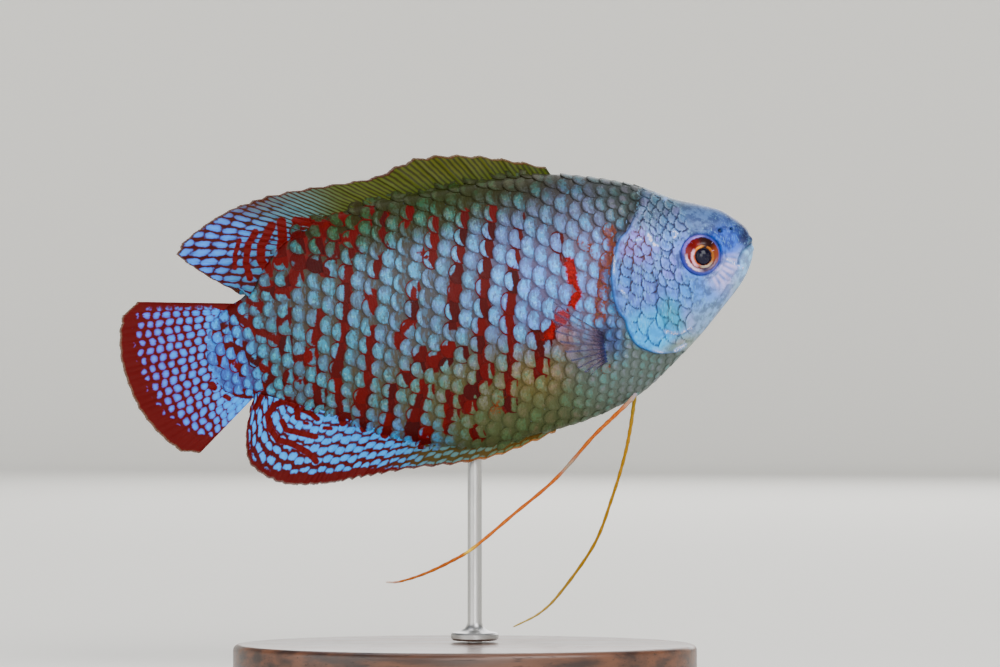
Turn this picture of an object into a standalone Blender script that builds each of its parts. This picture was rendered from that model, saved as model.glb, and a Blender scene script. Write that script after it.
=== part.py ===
"""A dwarf gourami (Trichogaster lalius), adult male, as a still life-size model on a stand.

The fish is modelled in its own frame, in millimetres: +X runs to the snout, +Y to the
fish's left and +Z to its back, with the origin in the middle of the flank. An empty holds
that frame in the world, tilted nose up, above a base that stands on the floor at Z = 0.
"""
import math

import bmesh
import bpy
import numpy as np
from mathutils import Matrix, Vector

MM = 0.001
GAP = 0.3

# Pose: the fish rises towards its snout, and its middle is this high over the floor.
NOSE_UP = math.radians(12.0)
FISH_MIDDLE = (-1.9, 0.0, 46.25)

# Body sections from the snout to the tail: place along the fish, height of the back,
# height of the belly, half of the thickness, height of the widest point, squareness.
BODY_SECTIONS = (
    (38.60, 0.50, -0.55, 0.45, 0.0, 2.0),
    (38.50, 1.15, -1.15, 1.05, 0.0, 2.0),
    (38.25, 1.85, -1.90, 1.60, 0.0, 2.0),
    (37.75, 2.55, -2.85, 2.10, 0.0, 2.1),
    (36.90, 3.45, -4.05, 2.55, 0.0, 2.2),
    (35.60, 4.65, -5.40, 3.10, -0.1, 2.2),
    (33.50, 5.75, -7.15, 3.75, -0.2, 2.2),
    (30.00, 7.40, -10.00, 4.60, -0.4, 2.2),
    (26.00, 9.90, -12.75, 5.20, -0.5, 2.1),
    (21.00, 12.00, -15.75, 5.50, -0.5, 2.0),
    (15.00, 13.75, -17.35, 5.60, -0.4, 2.0),
    (8.00, 14.50, -18.10, 5.40, 0.0, 2.0),
    (0.00, 14.75, -18.10, 4.90, 0.3, 2.0),
    (-7.00, 14.65, -16.20, 4.20, 0.6, 2.0),
    (-13.00, 14.20, -13.40, 3.40, 0.8, 2.0),
    (-18.00, 13.00, -10.45, 2.65, 0.8, 2.0),
    (-21.50, 10.40, -8.60, 2.15, 0.5, 2.0),
    (-24.00, 7.40, -7.35, 1.80, 0.2, 2.0),
    (-26.00, 6.20, -6.55, 1.50, 0.0, 2.0),
    (-28.00, 5.80, -6.20, 1.30, 0.0, 2.0),
)
HEAD_SECTIONS = 9
HEAD_RINGS = 36
TRUNK_RINGS = 25
RING_POINTS = 34

# Where the body is parted, as lines in side view: head from trunk under the gill covers,
# the mouth and the back of the lower jaw, trunk from tail stalk, and the end of the stalk.
HEAD_PARTING = (
    (28.6, 14.0), (27.4, 9.6), (25.8, 7.0), (23.6, 3.8), (22.5, 0.0), (22.2, -3.5),
    (22.7, -6.6), (24.2, -9.0), (26.8, -10.5), (30.5, -12.9),
)
MOUTH_LINE = (
    (40.5, 0.75), (38.8, -0.05), (37.7, -0.6), (36.9, -1.1), (36.35, -1.8), (36.1, -2.7),
    (35.2, -4.0), (33.6, -5.7), (31.9, -7.5), (30.4, -9.4), (29.4, -11.6),
)
MOUTH_CORNER_X = 36.3
STALK_PARTING = ((-14.0, 25.0), (-14.0, -25.0))
STALK_END_TOP = (-25.0, 6.1)
STALK_END_BOTTOM = (-26.5, -6.4)

# Gill cover: its rear edge and its front edge, both from the top down, in side view.
GILL_REAR = (
    (25.9, 7.5), (23.9, 5.2), (21.9, 3.4), (20.7, 0.2), (20.0, -2.6), (20.0, -5.0),
    (20.8, -8.0), (22.6, -10.2), (24.8, -10.9), (27.6, -10.5),
)
GILL_FRONT = (
    (26.4, 7.4), (26.7, 5.2), (26.5, 3.0), (26.3, 0.6), (26.0, -2.0), (25.6, -4.4),
    (25.5, -6.6), (26.0, -8.4), (26.8, -9.5), (27.8, -10.1),
)
GILL_THICKNESS = 0.6
GILL_PROUD = 0.35

# Eye: an egg-shaped ball, turned to face a little forward, sunk to a set depth.
EYE_PLACE = (31.9, -0.3)
EYE_RADIUS = 2.65
EYE_HALF_DEPTH = 1.9
EYE_SUNK = 0.8
EYE_FORWARD = math.radians(12.0)
ORBIT_RIM_RADIUS = 2.82
ORBIT_RIM = 0.24

# Lips: how far they swell out, and how far their crests and edges lie from the mouth line.
LIP_SWELL = 0.36
LIP_CREST = 0.5
LIP_WIDTH = 0.42

# Nostrils: place in side view and radius.
NOSTRILS = ((34.7, 2.3, 0.34), (36.3, 2.1, 0.27))

# Fins: half thickness of the membrane, of the rays at root and tip, and of the outer edge.
MEMBRANE_HALF = 0.25
RAY_ROOT_HALF = 0.45
RAY_TIP_HALF = 0.27
EDGE_HALF = 0.18

# Upright fins: place of the root along the body, then tip of the ray, in side view.
DORSAL_KEYS = (
    (16.0, 15.3, 14.6), (12.5, 11.2, 16.4), (8.0, 5.6, 18.2), (3.0, -0.7, 19.1),
    (-2.0, -6.3, 17.8), (-8.0, -13.8, 18.15), (-13.0, -20.4, 18.2),
    (-17.0, -26.4, 16.9), (-19.8, -32.0, 13.9), (-21.8, -30.2, 11.2),
    (-23.3, -27.7, 8.8), (-24.3, -25.6, 7.5),
)
DORSAL_RAYS = 26
DORSAL_SPINES = 17
ANAL_KEYS = (
    (10.2, 9.6, -18.3), (5.0, 2.6, -19.6), (0.0, -3.0, -19.65), (-5.0, -9.0, -19.0),
    (-10.0, -15.0, -18.8), (-15.0, -20.6, -18.5), (-19.0, -25.4, -17.3),
    (-22.0, -28.5, -14.4), (-24.0, -28.6, -11.8), (-25.4, -27.9, -9.2),
    (-26.0, -27.0, -7.6),
)
ANAL_RAYS = 30
ANAL_SPINES = 17

# How far the membrane falls short of the tips of spines and of soft rays.
SPINE_NOTCH = 0.4
SOFT_NOTCH = 0.1

# Tail fin: height of the ray's root on the end of the stalk, then its tip, in side view.
TAIL_KEYS = (
    (5.9, -39.3, 8.9), (4.9, -40.6, 6.9), (3.6, -41.4, 4.3), (2.0, -41.7, 1.8),
    (0.3, -41.5, -0.7), (-1.4, -41.1, -3.3), (-3.0, -40.2, -5.9), (-4.4, -38.7, -8.5),
    (-5.4, -36.9, -10.7), (-6.2, -35.1, -12.0),
)
TAIL_RAYS = 16
TAIL_BOW = 0.5
TAIL_FLESH = 0.35

# Pectoral fin, right side: root behind the gill cover, then the tips from the top ray down.
PECTORAL_ROOT_TOP = (18.2, -7.2)
PECTORAL_ROOT_BOTTOM = (17.9, -11.2)
PECTORAL_TIPS = (
    (12.6, -13.2, -2.2), (12.0, -14.8, -4.2), (12.2, -15.6, -6.6), (12.9, -15.2, -9.0),
    (14.0, -13.2, -11.0), (15.4, -10.6, -12.0),
)
PECTORAL_RAYS = 10
PECTORAL_ROOT_IN = 1.6

# Pelvic feelers: routes in the fish's frame, from inside the belly to the tip.
FEELER_RIGHT = (
    (20.6, -0.9, -14.6), (20.0, -1.3, -15.9), (14.0, -2.6, -19.7), (8.4, -3.3, -23.8),
    (2.4, -3.8, -27.0), (-3.3, -4.2, -30.0), (-6.5, -4.4, -31.1), (-10.0, -4.5, -31.9),
    (-13.2, -4.5, -32.2), (-14.9, -4.4, -31.9),
)
FEELER_LEFT = (
    (20.7, 0.9, -14.6), (20.2, 1.4, -16.2), (18.9, 3.2, -19.9), (17.4, 4.9, -23.4),
    (15.0, 7.2, -27.9), (11.6, 9.4, -33.3), (6.3, 11.6, -38.4), (3.0, 12.4, -40.6),
    (-0.8, 12.8, -41.7),
)
FEELER_RADII = (0.36, 0.30, 0.27, 0.12)
FEELER_POINTS = 30

# Stand: an oval base with a rod up to the lower left flank, where it misses the fins.
BASE_LENGTH = 58.0
BASE_WIDTH = 36.0
BASE_THICKNESS = 4.0
BASE_ROUND = 0.8
BASE_FOOT_ROUND = 0.4
BASE_SEGMENTS = 52
ROD_RADIUS = 0.9
ROD_PLACE = (1.2, 2.75)
ROD_TOP = 40.0
ROD_SOCKET = 2.0
COLLAR_RADIUS = 3.0
COLLAR_HEIGHT = 1.6

# Finishes: base colour, roughness and metallic value of each kind of surface.
FINISHES = {
    "scales": ((0.36, 0.52, 0.62), 0.35, 0.2),
    "head_skin": ((0.38, 0.45, 0.72), 0.3, 0.2),
    "spotted_fin": ((0.45, 0.42, 0.60), 0.45, 0.0),
    "clear_fin": ((0.42, 0.42, 0.52), 0.4, 0.0),
    "feeler": ((0.85, 0.42, 0.08), 0.5, 0.0),
    "eye": ((0.55, 0.12, 0.03), 0.08, 0.0),
    "wood": ((0.13, 0.06, 0.03), 0.45, 0.0),
    "steel": ((0.60, 0.60, 0.60), 0.3, 1.0),
}


def smooth_at(points, steps):
    """Points of a smooth curve through the given points, at steps counted in points."""
    pts = np.array(points, float)
    padded = np.vstack([2 * pts[0] - pts[1], pts, 2 * pts[-1] - pts[-2]])
    index = np.minimum(steps.astype(int), len(pts) - 2)
    t = (steps - index)[:, None]
    before, start, end, after = (padded[index + k] for k in range(4))
    bend = 2 * before - 5 * start + 4 * end - after
    turn = 3 * start - before - 3 * end + after
    return start + 0.5 * t * (end - before + t * (bend + t * turn))


def smooth(points, count):
    """A number of points spread along a smooth curve through the given points."""
    return smooth_at(points, np.linspace(0, len(points) - 1, count))


FINE_SECTIONS = smooth(BODY_SECTIONS, 800)[::-1]


def section_at(x):
    """Back, belly, half thickness, widest height and squareness at places along the fish."""
    return [np.interp(x, FINE_SECTIONS[:, 0], FINE_SECTIONS[:, k]) for k in range(1, 6)]


def flank(x, z):
    """Half thickness of the body at a place seen from the side, and 0 outside it."""
    back, belly, half, widest, square = section_at(x)
    reach = np.where(z > widest, back - widest, widest - belly)
    inside = np.clip(1 - np.abs((z - widest) / reach) ** square, 0, 1)
    return half * inside ** (1 / square)


def flank_point(x, z, out, side):
    """A point over the flank of one side (-1 right, 1 left), raised along its normal."""
    step = 0.05
    slope_x = (flank(x + step, z) - flank(x - step, z)) / (2 * step)
    slope_z = (flank(x, z + step) - flank(x, z - step)) / (2 * step)
    normal = np.array([-slope_x, 1.0, -slope_z]) / math.sqrt(1 + slope_x ** 2 + slope_z ** 2)
    point = np.array([x, flank(x, z), z]) + out * normal
    return np.array([point[0], side * point[1], point[2]])


def new_object(name, vertices, faces):
    """A mesh object from points in millimetres, with its faces turned outward."""
    mesh = bpy.data.meshes.new(name)
    mesh.from_pydata([tuple(c * MM for c in v) for v in vertices], [], faces)
    shape = bmesh.new()
    shape.from_mesh(mesh)
    bmesh.ops.recalc_face_normals(shape, faces=shape.faces)
    shape.to_mesh(mesh)
    shape.free()
    obj = bpy.data.objects.new(name, mesh)
    bpy.context.collection.objects.link(obj)
    return obj


def lip_swell(x, z):
    """How far the lips stand out at a place in side view."""
    line = smooth(MOUTH_LINE, 80)
    line = line[line[:, 0] > MOUTH_CORNER_X]
    away = np.hypot(line[:, 0] - x, line[:, 1] - z)
    ridge = math.exp(-((away.min() - LIP_CREST) / LIP_WIDTH) ** 2)
    return LIP_SWELL * ridge


def body_loft(name, raised=0.0):
    """The whole body as one closed skin through its sections, raised all over."""
    head = np.linspace(0, HEAD_SECTIONS - 1, HEAD_RINGS)
    rest = np.linspace(HEAD_SECTIONS - 1, len(BODY_SECTIONS) - 1, TRUNK_RINGS)
    sections = smooth_at(BODY_SECTIONS, np.concatenate([head, rest[1:]]))
    vertices = []
    for x, back, belly, half, widest, square in sections:
        for k in range(RING_POINTS):
            angle = 2 * math.pi * k / RING_POINTS
            across, up = math.cos(angle), math.sin(angle)
            height = back - widest if up > 0 else widest - belly
            y = half * math.copysign(abs(across) ** (2 / square), across)
            z = widest + height * math.copysign(abs(up) ** (2 / square), up)
            slope = math.hypot(across * height, up * half)
            y += raised * across * height / slope
            z += raised * up * half / slope
            vertices.append((x, y, z))
    faces = []
    for ring in range(len(sections) - 1):
        for k in range(RING_POINTS):
            here = ring * RING_POINTS
            after = (k + 1) % RING_POINTS
            faces.append((here + k, here + after, here + RING_POINTS + after,
                          here + RING_POINTS + k))
    last = (len(sections) - 1) * RING_POINTS
    nose, tail = len(vertices), len(vertices) + 1
    vertices.append((BODY_SECTIONS[0][0] + 0.03 + raised, 0.0, 0.0))
    vertices.append((BODY_SECTIONS[-1][0] - 0.1 - raised, 0.0, 0.0))
    for k in range(RING_POINTS):
        after = (k + 1) % RING_POINTS
        faces.append((k, nose, after))
        faces.append((last + k, last + after, tail))
    loft = new_object(name, vertices, faces)
    normals = [vertex.normal.copy() for vertex in loft.data.vertices]
    for vertex, normal in zip(loft.data.vertices, normals):
        if vertex.co.x > (MOUTH_CORNER_X - 1) * MM:
            vertex.co += normal * lip_swell(vertex.co.x / MM, vertex.co.z / MM) * MM
    return loft


def side_prism(name, outline, half_width=9.0):
    """A closed outline in side view, run through from flank to flank."""
    count = len(outline)
    vertices = [(x, y, z) for y in (-half_width, half_width) for x, z in outline]
    faces = [tuple(range(count)), tuple(range(2 * count - 1, count - 1, -1))]
    for k in range(count):
        after = (k + 1) % count
        faces.append((k, after, count + after, count + k))
    return new_object(name, vertices, faces)


def strip_outline(line, count, width):
    """The outline of a thin strip along a smooth line in side view."""
    path = smooth(line, count)
    along = np.gradient(path, axis=0)
    normal = np.column_stack([-along[:, 1], along[:, 0]])
    normal /= np.linalg.norm(normal, axis=1)[:, None]
    return np.vstack([path + normal * width / 2, (path - normal * width / 2)[::-1]])


def sheet(name, front, back):
    """A closed sheet between two grids of points, split into triangles alike on both."""
    columns, rows = front.shape[:2]
    vertices = np.vstack([front.reshape(-1, 3), back.reshape(-1, 3)])
    other = columns * rows
    faces = []
    for c in range(columns - 1):
        for r in range(rows - 1):
            a, b = c * rows + r, c * rows + r + 1
            d, e = a + rows, b + rows
            faces += [(a, d, e), (a, e, b), (other + a, other + e, other + d),
                      (other + a, other + b, other + e)]
    rim = [c * rows for c in range(columns)]
    rim += [(columns - 1) * rows + r for r in range(1, rows)]
    rim += [c * rows + rows - 1 for c in range(columns - 2, -1, -1)]
    rim += list(range(rows - 2, 0, -1))
    for k, a in enumerate(rim):
        b = rim[(k + 1) % len(rim)]
        faces += [(a, other + a, other + b), (a, other + b, b)]
    return new_object(name, vertices.tolist(), faces)


def tube(name, path, radii, sides):
    """A round closed tube along a path, with a radius for each of its points."""
    path = np.array(path, float)
    along = np.gradient(path, axis=0)
    along /= np.linalg.norm(along, axis=1)[:, None]
    up = np.cross(along[0], (0.0, 1.0, 0.0))
    vertices = []
    for point, way, radius in zip(path, along, radii):
        up = up - way * np.dot(up, way)
        up /= np.linalg.norm(up)
        across = np.cross(way, up)
        for k in range(sides):
            angle = 2 * math.pi * k / sides
            vertices.append(point + radius * (math.cos(angle) * up + math.sin(angle) * across))
    faces = []
    for ring in range(len(path) - 1):
        for k in range(sides):
            here = ring * sides
            after = (k + 1) % sides
            faces.append((here + k, here + after, here + sides + after, here + sides + k))
    faces.append(tuple(range(sides)))
    faces.append(tuple(range(len(path) * sides - 1, len(path) * sides - sides - 1, -1)))
    return new_object(name, vertices, faces)


def ball(name, centre, half_sizes, turn=0.0, segments=20, rings=12):
    """An ellipsoid at a point of the fish's frame, turned about the upright axis."""
    shape = bmesh.new()
    bmesh.ops.create_uvsphere(shape, u_segments=segments, v_segments=rings, radius=1.0)
    axes = Matrix.Diagonal((*[size * MM for size in half_sizes], 1.0))
    facing = Matrix.Rotation(math.radians(90.0), 4, "X")
    place = Matrix.Translation(Vector(centre) * MM) @ Matrix.Rotation(turn, 4, "Z")
    bmesh.ops.transform(shape, matrix=place @ axes @ facing, verts=shape.verts)
    mesh = bpy.data.meshes.new(name)
    shape.to_mesh(mesh)
    shape.free()
    obj = bpy.data.objects.new(name, mesh)
    bpy.context.collection.objects.link(obj)
    return obj


def fix_modifiers(obj):
    """Keep an object's shape as its modifiers leave it, without the modifiers."""
    view = bpy.context.evaluated_depsgraph_get()
    mesh = bpy.data.meshes.new_from_object(obj.evaluated_get(view))
    obj.modifiers.clear()
    obj.data = mesh


def combine(obj, others, operation):
    """Join other objects to an object, or cut them from it, and remove them."""
    group = bpy.data.collections.new(obj.name + "_pieces")
    bpy.context.scene.collection.children.link(group)
    for other in others:
        group.objects.link(other)
    boolean = obj.modifiers.new(operation.lower(), "BOOLEAN")
    boolean.operation = operation
    boolean.operand_type = "COLLECTION"
    boolean.collection = group
    boolean.solver = "EXACT"
    fix_modifiers(obj)
    for other in others:
        bpy.data.objects.remove(other)
    bpy.data.collections.remove(group)


def islands(mesh):
    """The closed surfaces of a mesh, as sets of face numbers, largest volume first."""
    shape = bmesh.new()
    shape.from_mesh(mesh)
    shape.faces.ensure_lookup_table()
    left = set(range(len(shape.faces)))
    found = []
    while left:
        grown = {left.pop()}
        edge = list(grown)
        while edge:
            face = shape.faces[edge.pop()]
            near = {f.index for e in face.edges for f in e.link_faces} & left
            left -= near
            grown |= near
            edge += near
        volume = 0.0
        for number in grown:
            corners = [v.co for v in shape.faces[number].verts]
            for k in range(1, len(corners) - 1):
                volume += corners[0].dot(corners[k].cross(corners[k + 1])) / 6
        found.append((abs(volume), grown))
    shape.free()
    return [faces for _, faces in sorted(found, key=lambda item: -item[0])]


def keep_island(obj, faces):
    """Leave only the given faces of an object's mesh."""
    shape = bmesh.new()
    shape.from_mesh(obj.data)
    spare = [face for face in shape.faces if face.index not in faces]
    bmesh.ops.delete(shape, geom=spare, context="FACES")
    shape.to_mesh(obj.data)
    shape.free()


def keep_largest(obj):
    """Leave only the largest closed surface of an object."""
    keep_island(obj, islands(obj.data)[0])


def gill_plate(name, side, inner, outer_front, outer_rear, grown):
    """A curved plate over the flank inside the gill cover's edges, or a cutter for it.

    Its faces lie this far out from the flank, and its edges are moved out by a growth.
    """
    rows, columns = 15, 6
    rear, front = smooth(GILL_REAR, rows), smooth(GILL_FRONT, rows)
    for edge, away in ((rear, -1.0), (front, 1.0)):
        along = np.gradient(edge, axis=0)
        normal = np.column_stack([-along[:, 1], along[:, 0]])
        normal /= np.linalg.norm(normal, axis=1)[:, None]
        edge += grown * away * normal
    for edge in (rear, front):
        edge[0] += (0.0, grown)
        edge[-1] += (grown, 0.0)
    shares = np.linspace(0, 1, columns)
    under = np.zeros((columns, rows, 3))
    over = np.zeros((columns, rows, 3))
    for c, share in enumerate(shares):
        for r in range(rows):
            x, z = front[r] * (1 - share) + rear[r] * share
            raised = outer_front * (1 - share) + outer_rear * share
            under[c, r] = flank_point(x, z, inner, side)
            over[c, r] = flank_point(x, z, raised, side)
    return sheet(name, over, under)


def fin_grid(roots, tips, spines, rows):
    """Middle lines and half thickness of a fin's rays and of the membrane between them.

    Each ray has three columns of points: its crest and, on either side, the membrane.
    """
    rays = len(roots)
    lines, halves = [], []
    shares = np.linspace(0, 1, rows)
    for column in range(3 * (rays - 1) + 1):
        place = column / 3
        low = min(int(place), rays - 2)
        mix = place - low
        root = roots[low] * (1 - mix) + roots[low + 1] * mix
        tip = tips[low] * (1 - mix) + tips[low + 1] * mix
        crest = column % 3 == 0
        if not crest:
            notch = SPINE_NOTCH if low < spines else SOFT_NOTCH
            tip = tip - (tip - root) * notch / np.linalg.norm(tip - root)
        line = root + (tip - root) * shares[:, None]
        lines.append(line)
        if crest:
            half = RAY_ROOT_HALF + (RAY_TIP_HALF - RAY_ROOT_HALF) * shares
        else:
            half = np.full(rows, MEMBRANE_HALF)
        half[-1] = EDGE_HALF
        halves.append(half)
    return np.array(lines), np.array(halves)


def upright_fin(name, keys, rays, spines, on_back):
    """A fin that stands in the middle plane on the back or under the belly."""
    key = smooth(keys, rays)
    back, belly = section_at(key[:, 0])[:2]
    foot = back + GAP if on_back else belly - GAP
    roots = np.column_stack([key[:, 0], np.zeros(rays), foot])
    tips = np.column_stack([key[:, 1], np.zeros(rays), key[:, 2]])
    lines, halves = fin_grid(roots, tips, spines, 4)
    for line in lines:
        back, belly = section_at(line[0, 0])[:2]
        line[0, 2] = back + GAP if on_back else belly - GAP
    thick = np.zeros_like(lines)
    thick[:, :, 1] = halves
    return sheet(name, lines - thick, lines + thick)


def tail_fin():
    """The tail fin, fleshy where it meets the stalk, with rays that fan out."""
    key = smooth(TAIL_KEYS, TAIL_RAYS)
    share = (STALK_END_TOP[1] - key[:, 0]) / (STALK_END_TOP[1] - STALK_END_BOTTOM[1])
    root_x = STALK_END_TOP[0] + share * (STALK_END_BOTTOM[0] - STALK_END_TOP[0]) - GAP
    roots = np.column_stack([root_x, np.zeros(TAIL_RAYS), key[:, 0]])
    tips = np.column_stack([key[:, 1], np.zeros(TAIL_RAYS), key[:, 2]])
    rows = 6
    lines, halves = fin_grid(roots, tips, 0, rows)
    columns = len(lines)
    shares = np.linspace(0, 1, rows)
    for c, line in enumerate(lines):
        edge = 1 - 2 * c / (columns - 1)
        line[:, 2] -= TAIL_BOW * max(edge, 0) * 4 * shares * (1 - shares)
        root_half = flank(line[0, 0], line[0, 2])
        flesh = np.clip(1 - shares / TAIL_FLESH, 0, 1) ** 1.5
        halves[c] = np.maximum(halves[c], halves[c] * (1 - flesh) + root_half * flesh)
    thick = np.zeros_like(lines)
    thick[:, :, 1] = halves
    return sheet("tail_fin", lines - thick, lines + thick)


def pectoral_fin(name, side):
    """A breast fin held out from the flank, slightly cupped, cut to meet the body."""
    tips = smooth(PECTORAL_TIPS, PECTORAL_RAYS)
    tips[:, 1] *= -side
    share = np.linspace(0, 1, PECTORAL_RAYS)[:, None]
    root_line = np.array(PECTORAL_ROOT_TOP) * (1 - share) + np.array(PECTORAL_ROOT_BOTTOM) * share
    roots = np.array([flank_point(x, z, 0.0, side) for x, z in root_line])
    inward = (roots - tips) / np.linalg.norm(roots - tips, axis=1)[:, None]
    roots = roots + inward * PECTORAL_ROOT_IN
    lines, halves = fin_grid(roots, tips, 0, 6)
    run = np.gradient(lines, axis=1)
    span = np.gradient(lines, axis=0)
    normal = np.cross(run, span)
    normal /= np.linalg.norm(normal, axis=2)[:, :, None]
    fin = sheet(name, lines - normal * halves[:, :, None], lines + normal * halves[:, :, None])
    combine(fin, [body_loft("fin_clearance", GAP)], "DIFFERENCE")
    keep_largest(fin)
    return fin


def feeler(name, route):
    """A thread-like pelvic fin: a long tapered tube whose root is cut to meet the belly."""
    path = smooth(route, FEELER_POINTS)
    share = np.linspace(0, 1, FEELER_POINTS)
    radii = np.interp(share, np.linspace(0, 1, len(FEELER_RADII)), FEELER_RADII)
    thread = tube(name, path, radii, 6)
    combine(thread, [body_loft("feeler_clearance", GAP)], "DIFFERENCE")
    keep_largest(thread)
    return thread


def eye_frame(side):
    """Centre of an eye and the turn that makes it face a little forward."""
    centre = flank_point(*EYE_PLACE, -EYE_SUNK, side)
    return centre, -side * EYE_FORWARD


def eye(name, side):
    centre, turn = eye_frame(side)
    return ball(name, centre, (EYE_RADIUS, EYE_HALF_DEPTH, EYE_RADIUS), turn)


def orbit_rim(side):
    """The low ring of skin round an eye."""
    centre, turn = eye_frame(side)
    outward = np.array([math.sin(EYE_FORWARD), side * math.cos(EYE_FORWARD), 0.0])
    forward = np.array([math.cos(EYE_FORWARD), -side * math.sin(EYE_FORWARD), 0.0])
    middle = centre + outward * (EYE_SUNK - 0.05)
    radius = ORBIT_RIM_RADIUS
    segments, sides = 22, 5
    vertices, faces = [], []
    for k in range(segments):
        angle = 2 * math.pi * k / segments
        way = forward * math.cos(angle) + np.array([0, 0, 1.0]) * math.sin(angle)
        for s in range(sides):
            turn_s = 2 * math.pi * s / sides
            vertices.append(middle + way * (radius + ORBIT_RIM * math.cos(turn_s))
                            + outward * ORBIT_RIM * math.sin(turn_s))
    for k in range(segments):
        for s in range(sides):
            here, there = k * sides, ((k + 1) % segments) * sides
            after = (s + 1) % sides
            faces.append((here + s, here + after, there + after, there + s))
    return new_object("orbit_rim", vertices, faces)


def fish_body():
    """Head, lower jaw, trunk and tail stalk, parted from one whole body."""
    whole = body_loft("whole_body")
    cutters = [
        side_prism("head_cut", strip_outline(HEAD_PARTING, 28, GAP)),
        side_prism("mouth_cut", strip_outline(MOUTH_LINE, 22, GAP)),
        side_prism("stalk_cut", strip_outline(STALK_PARTING, 2, GAP)),
    ]
    top, bottom = np.array(STALK_END_TOP), np.array(STALK_END_BOTTOM)
    beyond = top - bottom
    behind = np.array((-10.0, 0.0))
    end = [bottom - beyond, top + beyond, top + beyond + behind, bottom - beyond + behind]
    cutters.append(side_prism("end_cut", end))
    for side in (-1, 1):
        cutters.append(gill_plate("gill_recess", side, -GILL_THICKNESS - GAP, 2.0, 2.0, GAP))
        centre, turn = eye_frame(side)
        socket = (EYE_RADIUS + GAP, EYE_HALF_DEPTH + GAP, EYE_RADIUS + GAP)
        cutters.append(ball("eye_socket", centre, socket, turn, 20, 12))
        for x, z, radius in NOSTRILS:
            place = flank_point(x, z, 0.0, side)
            cutters.append(ball("nostril", place, (radius, radius, radius), 0.0, 8, 6))
    combine(whole, cutters, "DIFFERENCE")
    pieces = islands(whole.data)[:4]
    reach = []
    for faces in pieces:
        corners = {v for number in faces for v in whole.data.polygons[number].vertices}
        reach.append(np.mean([whole.data.vertices[v].co.x for v in corners]))
    order = np.argsort(reach)
    nodes = {}
    for name, number in zip(("tail_stalk", "trunk", "head", "lower_jaw"), order):
        node = bpy.data.objects.new(name, whole.data.copy())
        bpy.context.collection.objects.link(node)
        keep_island(node, pieces[number])
        nodes[name] = node
    bpy.data.objects.remove(whole)
    rims = [orbit_rim(side) for side in (-1, 1)]
    combine(nodes["head"], rims, "UNION")
    for node in nodes.values():
        keep_largest(node)
    return nodes


def stand():
    """The oval base with a socket, and the rod with its collar."""
    profile = [(BASE_FOOT_ROUND, 0.0), (0.0, BASE_FOOT_ROUND)]
    for angle in np.linspace(math.pi / 2, 0, 4):
        profile.append((BASE_ROUND * (1 - math.sin(angle)),
                        BASE_THICKNESS - BASE_ROUND * (1 - math.cos(angle))))
    vertices, faces = [], []
    for inset, height in profile:
        for k in range(BASE_SEGMENTS):
            angle = 2 * math.pi * k / BASE_SEGMENTS
            vertices.append(((BASE_LENGTH / 2 - inset) * math.cos(angle),
                             (BASE_WIDTH / 2 - inset) * math.sin(angle), height))
    for ring in range(len(profile) - 1):
        for k in range(BASE_SEGMENTS):
            here, after = ring * BASE_SEGMENTS, (k + 1) % BASE_SEGMENTS
            faces.append((here + k, here + after, here + BASE_SEGMENTS + after,
                          here + BASE_SEGMENTS + k))
    top = (len(profile) - 1) * BASE_SEGMENTS
    faces.append(tuple(range(BASE_SEGMENTS)))
    faces.append(tuple(range(top + BASE_SEGMENTS - 1, top - 1, -1)))
    base = new_object("stand_base", vertices, faces)
    x, y = ROD_PLACE
    socket = tube("socket", [(x, y, BASE_THICKNESS - ROD_SOCKET - GAP), (x, y, BASE_THICKNESS + 1)],
                  [ROD_RADIUS + GAP] * 2, 20)
    combine(base, [socket], "DIFFERENCE")
    foot = BASE_THICKNESS + GAP
    path = [(x, y, BASE_THICKNESS - ROD_SOCKET), (x, y, foot - 0.02), (x, y, foot),
            (x, y, foot + COLLAR_HEIGHT * 0.6), (x, y, foot + COLLAR_HEIGHT), (x, y, ROD_TOP)]
    radii = [ROD_RADIUS, ROD_RADIUS, COLLAR_RADIUS, COLLAR_RADIUS, ROD_RADIUS, ROD_RADIUS]
    return base, tube("stand_rod", path, radii, 20)


def finish(obj, kind):
    """Give an object its own material and a smooth look over its rounded faces."""
    colour, roughness, metallic = FINISHES[kind]
    material = bpy.data.materials.new(obj.name)
    material.use_nodes = True
    shader = material.node_tree.nodes["Principled BSDF"]
    shader.inputs["Base Color"].default_value = (*colour, 1.0)
    shader.inputs["Roughness"].default_value = roughness
    shader.inputs["Metallic"].default_value = metallic
    obj.data.materials.clear()
    obj.data.materials.append(material)
    obj.data.shade_smooth()
    obj.data.set_sharp_from_angle(angle=math.radians(40.0))


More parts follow.
